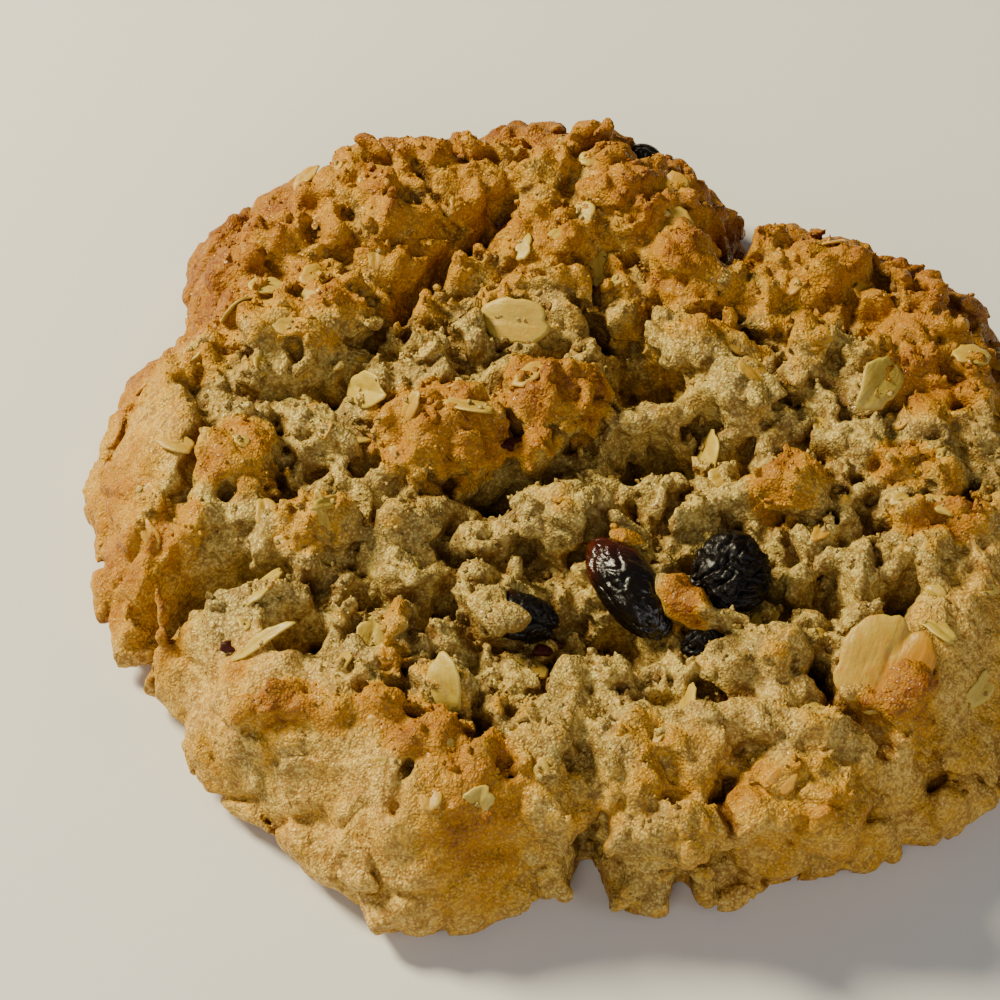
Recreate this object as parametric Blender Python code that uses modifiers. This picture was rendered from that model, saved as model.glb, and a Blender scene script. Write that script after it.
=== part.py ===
# Oatmeal raisin cookie, baked round and a little lopsided, lying on its flat base.
# Sizes in this file are in millimetres and degrees; finish_mesh turns them into metres.
# The origin is at the middle of the base, +Z is up, and the near side of the cookie faces -Y.
import math
import random

import bmesh
import bpy
from mathutils import Euler, Vector, noise
from mathutils.bvhtree import BVHTree

MM = 0.001

# Outline seen from above: distance from the middle to the rim every RIM_TURN degrees, from +X towards +Y
RIM_REACH = (
    42.6, 44.3, 43.2, 39.7, 36.9, 40.1, 42.7, 43.4, 43.6, 43.0, 37.7, 38.8,
    39.2, 38.6, 36.7, 38.0, 38.7, 41.3, 36.8, 38.6, 40.0, 43.5, 44.3, 43.1,
)
RIM_TURN = 360.0 / len(RIM_REACH)
# each bite that a crack takes out of the rim: direction, half width, depth
OUTLINE_BITES = (
    (275.6, 2.2, 5.0),
    (287.0, 2.0, 3.0),
    (313.5, 1.2, 1.2),
    (204.5, 2.6, 3.4),
    (59.0, 2.6, 2.0),
    (100.0, 1.6, 0.8),
)
# each layer of unevenness on the side wall: size, how far it stands out
WALL_BUMPS = ((6.5, 1.3), (2.7, 0.7))
WALL_CREASE_SPACING = 6.8
WALL_CREASE_DEPTH = 0.7

# Cross-section: share of the reach, height. The rim stands above the middle.
TOP_PROFILE = (
    (0.0, 11.2),
    (0.3, 11.4),
    (0.5, 12.0),
    (0.66, 13.2),
    (0.76, 13.6),
    (0.84, 12.6),
    (0.91, 10.0),
    (0.96, 6.9),
    (0.99, 4.2),
    (1.0, 2.6),
)
WIDEST_HEIGHT = 2.6
UNDERSIDE_PROFILE = ((0.99, 1.4), (0.97, 0.6), (0.93, 0.0), (0.0, 0.0))
TOP_STEPS = 8
TURN_STEPS = 200

# Where the crust gives way to broken crumb, as a share of the reach
NEAR_CRUST_EDGE = 0.70
FAR_CRUST_EDGE = 0.90
# each octave of clods: size, rise of a clod, depth of the crevice round it, share of it left on crust
CLOD_OCTAVES = (
    (6.2, 1.3, 1.4, 0.0),
    (3.1, 0.8, 0.8, 0.18),
    (1.7, 0.3, 0.25, 0.15),
)

# each pit in the crumb: x, y, half length, half width, turn, depth
PITS = (
    (-26.5, -10.5, 4.2, 3.0, 20.0, 7.0),
    (-20.3, -17.0, 2.6, 3.0, 0.0, 5.0),
    (6.9, 8.0, 3.6, 3.2, 0.0, 4.5),
    (8.0, 2.6, 3.4, 2.6, 0.0, 5.0),
    (-3.9, -0.9, 4.4, 2.4, 20.0, 6.0),
    (-15.0, -13.2, 1.6, 1.6, 0.0, 4.0),
    (-1.1, -8.7, 1.8, 1.2, 0.0, 3.0),
    (26.0, 16.0, 3.2, 3.0, -40.0, 3.5),
    (14.4, 24.4, 2.6, 4.0, 30.0, 5.0),
    (5.4, -16.8, 4.0, 2.6, -40.0, 5.0),
    (-19.9, 7.9, 2.6, 1.6, 0.0, 4.0),
    (17.0, -18.0, 3.5, 1.6, 10.0, 3.0),
    (22.0, -12.0, 2.2, 2.2, 0.0, 3.5),
    (-9.0, -14.5, 1.6, 2.0, 0.0, 3.0),
    (13.0, -21.5, 2.2, 1.6, 0.0, 3.0),
    (28.0, -13.0, 1.8, 3.0, -10.0, 3.0),
)

# each crack: half width, depth, the points that it runs through
CRACKS = (
    (1.5, 9.0, ((-37.5, -17.0), (-32.4, -13.4), (-29.3, -9.8), (-26.5, -10.8), (-22.5, -11.5))),
    (0.9, 3.2, ((-29.8, 7.0), (-28.4, 2.2), (-30.1, -5.0), (-32.2, -10.3))),
    (0.8, 3.5, ((-16.0, 13.5), (-13.0, 17.3), (-10.4, 21.1), (-3.8, 29.7))),
    (0.9, 3.5, ((1.9, 17.4), (5.1, 14.7), (8.7, 16.9))),
    (1.2, 6.0, ((18.4, 31.5), (15.4, 27.0), (13.2, 23.0))),
    (0.5, 2.6, ((-11.4, -28.6), (-11.4, -30.6), (-11.5, -33.5))),
    (0.7, 3.2, ((-5.1, -25.8), (-4.6, -28.0), (-2.5, -31.0))),
    (0.8, 5.0, ((1.9, -29.6), (3.0, -33.0), (4.3, -37.7))),
    (0.9, 5.5, ((15.4, -28.4), (12.7, -32.8), (15.0, -36.6))),
    (0.5, 3.5, ((30.4, -26.8), (29.8, -29.0), (30.3, -32.6))),
    (0.6, 2.6, ((14.5, -27.6), (19.2, -28.9), (26.2, -30.6))),
    (0.4, 1.6, ((29.1, -26.8), (33.9, -27.8), (38.0, -26.0))),
    (0.6, 2.4, ((33.0, 4.5), (34.5, 0.1), (33.5, -4.0))),
    (0.7, 3.0, ((20.5, -17.5), (22.0, -23.5), (26.5, -26.0))),
)

# each clod that stands clear of the crumb: centre, half sizes, turn
LUMPS = (
    ((-9.2, 2.6, 11.6), (5.8, 4.4, 3.9), 10.0),
    ((-0.4, 6.4, 11.8), (4.3, 4.0, 3.6), 0.0),
    ((-1.6, 0.6, 12.0), (1.7, 2.1, 2.4), 0.0),
    ((-11.9, -7.2, 12.2), (2.4, 2.2, 3.2), 0.0),
    ((-18.9, -7.2, 12.2), (3.2, 2.8, 3.0), 10.0),
    ((-23.5, -7.4, 10.6), (3.0, 2.6, 2.6), 0.0),
    ((-25.6, -1.0, 12.2), (3.4, 3.6, 2.3), -10.0),
    ((19.4, -2.2, 12.0), (3.0, 3.0, 3.9), 0.0),
    ((31.5, -5.8, 12.0), (3.8, 1.6, 2.0), 0.0),
    ((29.0, -0.1, 12.2), (2.4, 2.2, 2.1), 0.0),
    ((0.6, -5.2, 11.4), (4.4, 3.0, 2.8), 0.0),
    ((21.6, 12.2, 11.8), (2.4, 2.4, 2.9), 0.0),
    ((12.0, 12.8, 11.5), (4.5, 2.6, 2.7), -20.0),
    ((15.4, 7.6, 11.4), (3.4, 3.2, 2.7), 0.0),
    ((10.7, 21.6, 12.0), (3.4, 2.8, 3.0), 0.0),
    ((16.4, -19.2, 11.7), (4.4, 2.6, 2.9), 15.0),
    ((-12.3, -18.6, 12.8), (0.9, 3.2, 1.8), -8.0),
    ((-21.1, 13.9, 12.3), (5.4, 3.0, 2.4), 15.0),
    ((-31.0, -14.9, 11.2), (1.1, 1.7, 2.8), 0.0),
    ((19.4, -31.2, 9.2), (5.6, 4.2, 4.2), -10.0),
    ((8.6, -33.4, 8.0), (5.0, 3.6, 4.2), 0.0),
    ((-0.4, -31.8, 8.8), (4.0, 3.2, 3.8), 0.0),
    ((8.0, 5.4, 10.6), (3.2, 1.0, 2.0), 15.0),
    ((10.6, -14.6, 12.7), (1.9, 2.5, 2.0), 35.0),
)
LUMP_BUMP = 0.9
LUMP_BUMP_SIZE = 3.0

# each raisin: centre, half sizes, turn, tilt
RAISINS = (
    ((6.2, -12.8, 11.9), (5.3, 2.5, 2.5), -56.0, 8.0),
    ((14.4, -11.2, 11.9), (3.3, 3.8, 2.9), 0.0, 0.0),
    ((-2.4, -15.4, 11.4), (3.2, 2.1, 1.9), -12.0, 0.0),
    ((12.3, -17.5, 11.0), (1.9, 1.4, 1.6), 12.0, 0.0),
    ((7.3, 34.4, 9.4), (2.2, 2.6, 1.9), 10.0, 0.0),
)
RAISIN_AROUND = 20
RAISIN_RINGS = 11
RAISIN_WRINKLE = 0.13
RAISIN_GAP = 0.3

# each oat flake that shows clearly: x, y, half length, half width, turn, lean, roll, how far it stands out
SHOWN_FLAKES = (
    (-7.0, 3.1, 2.3, 1.6, 10.0, 10.0, 20.0, 0.2),
    (-15.4, 6.9, 2.6, 1.5, 45.0, 35.0, -20.0, 0.6),
    (-17.7, -6.9, 3.2, 0.9, -55.0, 10.0, 40.0, 0.6),
    (-22.8, -19.4, 2.9, 0.9, -68.0, 5.0, 30.0, 0.6),
    (-14.2, -18.4, 2.5, 1.3, 25.0, 5.0, -10.0, 0.3),
    (-8.1, -23.7, 2.5, 1.4, -42.0, 20.0, 20.0, 0.6),
    (10.6, -24.0, 2.7, 1.9, 60.0, 50.0, 15.0, 0.9),
    (25.6, -22.4, 4.2, 3.7, 70.0, 22.0, -6.0, 1.0),
    (30.4, -17.0, 2.1, 0.9, 80.0, 10.0, 25.0, 0.4),
    (34.2, -20.0, 1.9, 1.1, 0.0, 5.0, 0.0, 0.2),
    (26.8, 7.6, 2.8, 1.7, 8.0, 12.0, 0.0, 0.5),
    (-3.3, 14.9, 2.9, 2.1, 10.0, 8.0, 0.0, 0.3),
    (12.9, 3.2, 1.9, 1.5, 20.0, 20.0, 0.0, 0.5),
    (-24.2, 17.5, 1.7, 1.3, 0.0, 5.0, 0.0, 0.3),
    (-26.8, 15.5, 1.9, 1.2, -20.0, 5.0, 0.0, 0.3),
    (-21.0, 16.1, 1.5, 1.1, 30.0, 5.0, 0.0, 0.3),
    (-30.0, 11.4, 1.3, 1.0, 0.0, 0.0, 0.0, 0.2),
    (-22.8, -13.6, 2.6, 1.0, 28.0, 15.0, 0.0, 0.4),
    (4.0, -14.3, 1.6, 1.0, -15.0, 10.0, 0.0, 0.4),
)
SMALL_FLAKES = 16
SMALL_FLAKE_SIZE = (1.1, 1.9)
SMALL_FLAKE_SPACING = 8.0
FLAKE_THICKNESS = 0.7
FLAKE_AROUND = 10
FLAKE_WAVE = 0.25

JOINING_VOXEL = 0.6
COOKIE_TRIANGLES = 7200
FLAT_WITHIN = 0.25

DOUGH_COLOUR = (0.42, 0.23, 0.085, 1.0)
DOUGH_ROUGHNESS = 0.75
RAISIN_COLOUR = (0.012, 0.006, 0.006, 1.0)
RAISIN_ROUGHNESS = 0.32


def ease(low, high, value):
    """0 below low, 1 above high and a smooth step between them."""
    share = min(1.0, max(0.0, (value - low) / (high - low)))
    return share * share * (3.0 - 2.0 * share)


def between(before, start, end, after, share):
    """A smooth curve from start to end, which the neighbours steer."""
    bend = 2.0 * before - 5.0 * start + 4.0 * end - after
    twist = 3.0 * (start - end) + after - before
    return start + 0.5 * share * (end - before + share * (bend + share * twist))


def smooth_points(points, steps):
    """More points on a smooth curve through these ones."""
    dense = []
    last = len(points) - 1
    for index in range(last):
        four = [points[min(last, max(0, index + offset))] for offset in (-1, 0, 1, 2)]
        for step in range(steps):
            dense.append(tuple(between(*axis, step / steps) for axis in zip(*four)))
    dense.append(points[-1])
    return dense


def ripple(x, y, size, row):
    """Smooth noise of about this size, another one for each row."""
    return noise.noise(Vector((x / size, y / size, row)))


def around(angle, middle):
    """Signed difference of two directions, in degrees."""
    return (angle - middle + 180.0) % 360.0 - 180.0


def reach(angle):
    """Distance from the middle to the rim in this direction."""
    steps = angle % 360.0 / RIM_TURN
    first = int(steps)
    four = [RIM_REACH[(first + offset) % len(RIM_REACH)] for offset in (-1, 0, 1, 2)]
    radius = between(*four, steps - first)
    for middle, half_width, depth in OUTLINE_BITES:
        radius -= depth * (1.0 - ease(0.3, 1.4, abs(around(angle, middle)) / half_width))
    turn = math.radians(angle)
    return radius + 0.5 * ripple(math.cos(turn), math.sin(turn), 0.16, 2.7)


def crumb_share(x, y, share, angle):
    """1 where the crumb is broken open and 0 where smooth crust covers it."""
    near = ease(150.0, 185.0, angle) * (1.0 - ease(330.0, 358.0, angle))
    edge = NEAR_CRUST_EDGE * near + FAR_CRUST_EDGE * (1.0 - near) + 0.05 * ripple(x, y, 6.2, 3.1)
    return 1.0 - ease(edge - 0.04, edge + 0.06, share)


def clods(x, y, size, row):
    """Distance to the middle of the nearest clod, closeness of the crevice round it, and its level."""
    distances, middles = noise.voronoi(Vector((x / size + row, y / size + 0.7 * row, 0.31 * row)))
    level = 1.6 * noise.noise(middles[0] * 3.7)
    return distances[0], 1.0 - ease(0.0, 0.21, distances[1] - distances[0]), level


def distance_to_path(x, y, path):
    nearest = math.inf
    for (ax, ay), (bx, by) in zip(path, path[1:]):
        along = ((x - ax) * (bx - ax) + (y - ay) * (by - ay)) / ((bx - ax) ** 2 + (by - ay) ** 2)
        along = min(1.0, max(0.0, along))
        nearest = min(nearest, math.hypot(x - ax - along * (bx - ax), y - ay - along * (by - ay)))
    return nearest


def relief(x, y):
    """Height of the broken top over its smooth cross-section."""
    angle = math.degrees(math.atan2(y, x)) % 360.0
    share = math.hypot(x, y) / reach(angle)
    crumb = crumb_share(x, y, share, angle)
    warped_x = x + 1.6 * ripple(x, y, 4.5, 1.7) + 0.6 * ripple(x, y, 1.7, 4.1)
    warped_y = y + 1.6 * ripple(x, y, 4.5, 7.3) + 0.6 * ripple(x, y, 1.7, 9.1)
    height = 0.9 * ripple(x, y, 11.0, 0.4)
    for row, (size, rise, crevice, on_crust) in enumerate(CLOD_OCTAVES):
        middle, closeness, level = clods(warped_x, warped_y, size, 1.3 + 4.6 * row)
        strength = on_crust + (1.0 - on_crust) * crumb
        height += strength * (rise * (level + 0.55 - middle) - crevice * closeness)
    height *= 1.0 - ease(0.93, 1.0, share)
    for pit_x, pit_y, half_length, half_width, turn, depth in PITS:
        if math.hypot(x - pit_x, y - pit_y) > 1.3 * (half_length + half_width):
            continue
        cosine, sine = math.cos(math.radians(turn)), math.sin(math.radians(turn))
        along = ((x - pit_x) * cosine + (y - pit_y) * sine) / half_length
        across = ((y - pit_y) * cosine - (x - pit_x) * sine) / half_width
        height -= depth * (1.0 - ease(0.45, 1.1, math.hypot(along, across) + 0.25 * ripple(x, y, 1.4, 2.2)))
    crooked_x = x + 0.8 * ripple(x, y, 1.25, 5.0)
    crooked_y = y + 0.8 * ripple(x, y, 1.25, 6.0)
    for half_width, depth, path in CRACKS:
        height -= depth * (1.0 - ease(0.3, 1.3, distance_to_path(crooked_x, crooked_y, path) / half_width))
    return height


def wall_bump(place):
    """How far the side wall stands out here, fading out towards the top and the base."""
    angle = math.degrees(math.atan2(place.y, place.x)) % 360.0
    share = math.hypot(place.x, place.y) / reach(angle)
    weight = ease(0.8, 0.93, share) * ease(0.0, 1.6, place.z)
    if weight == 0.0:
        return 0.0
    bump = sum(height * noise.noise(place / size) for size, height in WALL_BUMPS)
    distances, _ = noise.voronoi(place / WALL_CREASE_SPACING)
    bump -= WALL_CREASE_DEPTH * (1.0 - ease(0.0, 0.16, distances[1] - distances[0]))
    return weight * bump


def clear_scene():
    for block in (bpy.data.objects, bpy.data.meshes, bpy.data.materials, bpy.data.collections):
        for item in list(block):
            block.remove(item)


def new_collection(name):
    collection = bpy.data.collections.new(name)
    bpy.context.scene.collection.children.link(collection)
    return collection


def new_material(name, colour, roughness):
    material = bpy.data.materials.new(name)
    material.use_nodes = True
    shader = material.node_tree.nodes["Principled BSDF"]
    shader.inputs["Base Color"].default_value = colour
    shader.inputs["Roughness"].default_value = roughness
    shader.inputs["Metallic"].default_value = 0.0
    return material


def finish_mesh(name, shape, collection):
    """An object in this collection from a bmesh in millimetres."""
    bmesh.ops.scale(shape, vec=(MM, MM, MM), verts=shape.verts)
    mesh = bpy.data.meshes.new(name)
    shape.to_mesh(mesh)
    shape.free()
    mesh.shade_smooth()
    made = bpy.data.objects.new(name, mesh)
    collection.objects.link(made)
    return made


def apply_modifiers(target):
    before = target.data
    graph = bpy.context.evaluated_depsgraph_get()
    target.data = bpy.data.meshes.new_from_object(target.evaluated_get(graph))
    target.modifiers.clear()
    bpy.data.meshes.remove(before)


def drop_collection(collection):
    for item in list(collection.objects):
        bpy.data.objects.remove(item)
    bpy.data.collections.remove(collection)


def turned_body(collection):
    """The cross-section turned round the axis, pushed out to the rim and broken up on top."""
    shape = bmesh.new()
    outline = smooth_points(TOP_PROFILE, TOP_STEPS) + list(UNDERSIDE_PROFILE)
    corners = [shape.verts.new((RIM_REACH[0] * share, 0.0, height)) for share, height in outline]
    for first, second in zip(corners, corners[1:]):
        shape.edges.new((first, second))
    body = finish_mesh("cookie", shape, collection)
    turn = body.modifiers.new("turn", "SCREW")
    turn.angle = math.tau
    turn.steps = TURN_STEPS
    turn.render_steps = TURN_STEPS
    turn.use_merge_vertices = True
    turn.merge_threshold = 0.0001
    apply_modifiers(body)
    for vertex in body.data.vertices:
        x, y, height = vertex.co / MM
        angle = math.degrees(math.atan2(y, x)) % 360.0
        stretch = reach(angle) / RIM_REACH[0]
        x *= stretch
        y *= stretch
        if height > WIDEST_HEIGHT + 0.01:
            height = max(WIDEST_HEIGHT, height + relief(x, y))
        place = Vector((x, y, height))
        outward = Vector((x, y, 0.0)).normalized()
        vertex.co = (place + outward * wall_bump(place)) * MM
    return body


def lump(name, centre, half_sizes, turn, collection):
    shape = bmesh.new()
    bmesh.ops.create_icosphere(shape, subdivisions=4, radius=1.0)
    turned = Euler((0.0, 0.0, math.radians(turn)))
    for vertex in shape.verts:
        outward = vertex.co.copy()
        place = Vector(outward[axis] * half_sizes[axis] for axis in range(3))
        place.rotate(turned)
        place += Vector(centre)
        bump = LUMP_BUMP * noise.noise(place / LUMP_BUMP_SIZE)
        bump += 0.5 * LUMP_BUMP * noise.noise(place * (2.0 / LUMP_BUMP_SIZE))
        outward.rotate(turned)
        vertex.co = place + outward * bump
    return finish_mesh(name, shape, collection)


def join_by_voxels(body, pieces):
    """One closed skin round the body and all of these pieces."""
    merged = bmesh.new()
    for piece in [body] + pieces:
        merged.from_mesh(piece.data)
    merged.to_mesh(body.data)
    merged.free()
    remesh = body.modifiers.new("skin", "REMESH")
    remesh.mode = "VOXEL"
    remesh.voxel_size = JOINING_VOXEL * MM
    apply_modifiers(body)
    faces = len(body.data.polygons)
    thin = body.modifiers.new("thin", "DECIMATE")
    thin.ratio = COOKIE_TRIANGLES / (2.0 * faces)
    apply_modifiers(body)
    for vertex in body.data.vertices:
        if vertex.co.z < FLAT_WITHIN * MM:
            vertex.co.z = 0.0


def surface_under(tree, x, y):
    """Point and normal of the top skin at this place, in millimetres."""
    point, normal, _, _ = tree.ray_cast(Vector((x, y, 40.0)) * MM, Vector((0.0, 0.0, -1.0)))
    return point / MM, normal


def flake(name, spot, tree, collection):
    """A thin wavy oat flake with a notched outline, seated in the skin."""
    x, y, half_length, half_width, turn, lean, roll, stand_out = spot
    point, normal = surface_under(tree, x, y)
    facing = normal.lerp(Vector((0.0, 0.0, 1.0)), 0.5).to_track_quat("Z", "Y")
    pose = Euler((math.radians(lean), math.radians(roll), math.radians(turn)))
    shape = bmesh.new()
    bmesh.ops.create_cone(
        shape, cap_ends=True, cap_tris=True, segments=FLAKE_AROUND, radius1=1.0, radius2=0.94,
        depth=FLAKE_THICKNESS,
    )
    for vertex in shape.verts:
        way = math.atan2(vertex.co.y, vertex.co.x)
        ragged = 1.0 + 0.16 * noise.noise(Vector((2.0 * math.cos(way), 2.0 * math.sin(way), x)))
        place = Vector((vertex.co.x * half_length * ragged, vertex.co.y * half_width * ragged, vertex.co.z))
        place.z += FLAKE_WAVE * math.sin(1.3 * place.x + x) - 0.06 * place.y * place.y
        place.rotate(pose)
        place.rotate(facing)
        vertex.co = point + place + Vector((0.0, 0.0, stand_out))
    return finish_mesh(name, shape, collection)


def small_flake_spots():
    """Places for the small flakes, spread evenly over the crumb by a seeded draw."""
    draw = random.Random(11)
    spots = []
    while len(spots) < SMALL_FLAKES:
        angle = draw.uniform(0.0, 360.0)
        radius = reach(angle) * math.sqrt(draw.uniform(0.0, 0.8))
        x = radius * math.cos(math.radians(angle))
        y = radius * math.sin(math.radians(angle))
        taken = [(spot[0], spot[1]) for spot in list(SHOWN_FLAKES) + spots]
        taken += [(raisin[0][0], raisin[0][1]) for raisin in RAISINS]
        if min(math.hypot(x - a, y - b) for a, b in taken) < SMALL_FLAKE_SPACING * 0.75:
            continue
        length = draw.uniform(*SMALL_FLAKE_SIZE)
        spots.append((x, y, length, 0.7 * length, draw.uniform(0.0, 180.0), draw.uniform(-20.0, 20.0), 0.0, 0.3))
    return spots


def raisin(name, centre, half_sizes, turn, tilt, spare, collection):
    """A wrinkled raisin, swollen by the spare distance when it serves as a cutter."""
    shape = bmesh.new()
    bmesh.ops.create_uvsphere(shape, u_segments=RAISIN_AROUND, v_segments=RAISIN_RINGS, radius=1.0)
    pose = Euler((0.0, math.radians(90.0 + tilt), math.radians(turn)))
    for vertex in shape.verts:
        way = vertex.co.copy()
        crease = abs(noise.noise(Vector((2.4 * way.x, 2.4 * way.y, 1.1 * way.z + centre[0]))))
        size = 1.0 - RAISIN_WRINKLE * (1.0 - min(1.0, 3.0 * crease))
        place = Vector((way.x * half_sizes[2], way.y * half_sizes[1], way.z * half_sizes[0])) * size
        place += way * spare
        place.rotate(pose)
        vertex.co = place + Vector(centre)
    return finish_mesh(name, shape, collection)


def boolean(target, operation, collection):
    change = target.modifiers.new(operation.lower(), "BOOLEAN")
    change.operation = operation
    change.operand_type = "COLLECTION"
    change.collection = collection
    change.solver = "MANIFOLD"
    apply_modifiers(target)
    drop_collection(collection)


def keep_largest_body(target):
    """Drops every loose scrap and sealed hollow that the cuts left: skins that share no edge with the rest."""
    shape = bmesh.new()
    shape.from_mesh(target.data)
    left = set(shape.faces)
    skins = []
    while left:
        queue = [left.pop()]
        skin = list(queue)
        while queue:
            for edge in queue.pop().edges:
                for face in edge.link_faces:
                    if face in left:
                        left.remove(face)
                        queue.append(face)
                        skin.append(face)
        skins.append(skin)
    skins.sort(key=len)
    for skin in skins[:-1]:
        bmesh.ops.delete(shape, geom=skin, context="FACES")
    shape.to_mesh(target.data)
    shape.free()


def main():
    clear_scene()
    whole = new_collection("oatmeal_raisin_cookie")
    loose = new_collection("dough_lumps")
    body = turned_body(whole)
    lumps = [lump(f"lump_{index}", *spot, loose) for index, spot in enumerate(LUMPS)]
    join_by_voxels(body, lumps)
    drop_collection(loose)

    flakes = new_collection("oat_flakes")
    tree = BVHTree.FromPolygons(
        [vertex.co.copy() for vertex in body.data.vertices],
        [tuple(face.vertices) for face in body.data.polygons],
    )
    for index, spot in enumerate(list(SHOWN_FLAKES) + small_flake_spots()):
        flake(f"flake_{index}", spot, tree, flakes)
    boolean(body, "UNION", flakes)

    sockets = new_collection("raisin_sockets")
    for index, spot in enumerate(RAISINS, 1):
        raisin(f"socket_{index}", *spot, RAISIN_GAP, sockets)
    boolean(body, "DIFFERENCE", sockets)
    keep_largest_body(body)
    body.data.materials.clear()
    body.data.materials.append(new_material("baked dough", DOUGH_COLOUR, DOUGH_ROUGHNESS))
    body.data.shade_smooth()

    for index, spot in enumerate(RAISINS, 1):
        made = raisin(f"raisin_{index}", *spot, 0.0, whole)
        made.data.materials.append(new_material(f"raisin {index}", RAISIN_COLOUR, RAISIN_ROUGHNESS))


main()
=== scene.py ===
import math
import random
import time

import bmesh
import bpy
import numpy as np
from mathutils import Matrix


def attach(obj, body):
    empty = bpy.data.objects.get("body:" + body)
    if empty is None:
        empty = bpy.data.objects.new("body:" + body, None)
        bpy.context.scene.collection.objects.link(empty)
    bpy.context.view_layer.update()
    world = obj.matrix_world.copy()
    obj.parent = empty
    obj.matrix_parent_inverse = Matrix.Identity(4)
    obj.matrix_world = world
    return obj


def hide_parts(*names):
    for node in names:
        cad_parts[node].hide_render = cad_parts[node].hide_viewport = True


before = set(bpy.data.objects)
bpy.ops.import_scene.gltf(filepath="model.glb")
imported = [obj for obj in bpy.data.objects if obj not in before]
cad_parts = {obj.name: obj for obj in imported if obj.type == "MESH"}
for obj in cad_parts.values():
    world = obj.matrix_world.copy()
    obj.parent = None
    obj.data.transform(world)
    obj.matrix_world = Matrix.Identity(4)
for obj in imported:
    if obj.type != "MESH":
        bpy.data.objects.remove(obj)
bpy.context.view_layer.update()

import openvdb
from mathutils import Euler, Quaternion, Vector, noise
from mathutils.bvhtree import BVHTree

startTime = time.time()
mm = 0.001          # every shape below is worked out in millimetres


def report(stage):
    print(f"{time.time() - startTime:6.1f} s  {stage}")


# outline and cross-section of the cookie
cookieForm = {
    "rimReach": (42.6, 44.3, 43.2, 39.7, 36.9, 40.1, 42.7, 43.4, 43.6, 43.0, 37.7, 38.8,
                 39.2, 38.6, 36.7, 38.0, 38.7, 41.3, 36.8, 38.6, 40.0, 43.5, 44.3, 43.1),
    # direction, half width, depth of each bite that a crack takes out of the rim
    "bites": ((275.6, 2.2, 5.0), (287.0, 2.0, 3.0), (313.5, 1.2, 1.2),
              (204.5, 2.6, 3.4), (59.0, 2.6, 2.0), (100.0, 1.6, 0.8)),
    # share of the reach, height
    "topProfile": ((0.0, 11.2), (0.3, 11.4), (0.5, 12.0), (0.66, 13.2), (0.76, 13.6),
                   (0.84, 12.6), (0.91, 10.0), (0.96, 6.9), (0.99, 4.2), (1.0, 2.6)),
    "undersideProfile": ((0.0, 0.0), (0.93, 0.0), (0.97, 0.6), (0.99, 1.4), (1.0, 2.6)),
    "widestHeight": 2.6,
    "nearCrustEdge": 0.70,
    "farCrustEdge": 0.90,
    "wallBumps": ((6.5, 1.3), (2.7, 0.7)),      # size, height
    "creaseSpacing": 6.8,
    "creaseDepth": 0.7,
    # size, rise, crevice depth, share left on crust
    "clods": ((6.2, 1.3, 1.4, 0.0), (3.1, 0.8, 0.8, 0.18), (1.7, 0.3, 0.25, 0.15)),
}

# x, y, half length, half width, turn, depth
pits = (
    (-26.5, -10.5, 4.2, 3.0, 20.0, 7.0), (-20.3, -17.0, 2.6, 3.0, 0.0, 5.0),
    (8.0, 11.2, 5.0, 3.7, 0.0, 7.2), (8.0, 2.6, 3.6, 2.8, 0.0, 6.4),
    (-3.9, -0.9, 4.4, 2.4, 20.0, 6.0), (-15.0, -13.2, 1.6, 1.6, 0.0, 4.0),
    (-1.1, -8.7, 1.8, 1.2, 0.0, 3.0), (26.0, 16.0, 3.2, 3.0, -40.0, 3.5),
    (14.4, 24.4, 2.6, 4.0, 30.0, 5.0), (5.4, -16.8, 4.0, 2.6, -40.0, 5.0),
    (-19.9, 7.9, 2.6, 1.6, 0.0, 4.0), (17.0, -18.0, 3.5, 1.6, 10.0, 3.0),
    (22.0, -12.0, 2.2, 2.2, 0.0, 3.5), (-9.0, -14.5, 1.6, 2.0, 0.0, 3.0),
    (13.0, -21.5, 2.2, 1.6, 0.0, 3.0), (28.0, -13.0, 1.8, 3.0, -10.0, 3.0),
)

# half width, depth, path
cracks = (
    (1.5, 9.0, ((-37.5, -17.0), (-32.4, -13.4), (-29.3, -9.8), (-26.5, -10.8), (-22.5, -11.5))),
    (1.0, 2.0, ((-29.8, 7.0), (-28.0, 2.2), (-30.6, -5.0), (-31.8, -10.3))),
    (0.8, 3.5, ((-16.0, 13.5), (-13.0, 17.3), (-10.4, 21.1), (-3.8, 29.7))),
    (0.9, 3.5, ((1.9, 17.4), (5.1, 14.7), (8.7, 16.9))),
    (1.2, 6.0, ((18.4, 31.5), (15.4, 27.0), (13.2, 23.0))),
    (0.5, 1.3, ((-11.4, -28.6), (-11.0, -30.6), (-11.8, -33.5))),
    (0.7, 3.2, ((-5.1, -25.8), (-4.6, -28.0), (-2.5, -31.0))),
    (0.8, 5.0, ((1.9, -29.6), (3.0, -33.0), (4.3, -37.7))),
    (0.9, 5.5, ((15.4, -28.4), (12.7, -32.8), (15.0, -36.6))),
    (0.5, 2.4, ((30.4, -26.8), (29.8, -29.0), (30.3, -32.6))),
    (0.6, 2.6, ((14.5, -27.6), (19.2, -28.9), (26.2, -30.6))),
    (0.4, 1.6, ((29.1, -26.8), (33.9, -27.8), (38.0, -26.0))),
    (0.6, 2.4, ((33.0, 4.5), (34.5, 0.1), (33.5, -4.0))),
    (0.7, 3.0, ((20.5, -17.5), (22.0, -23.5), (26.5, -26.0))),
)

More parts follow.
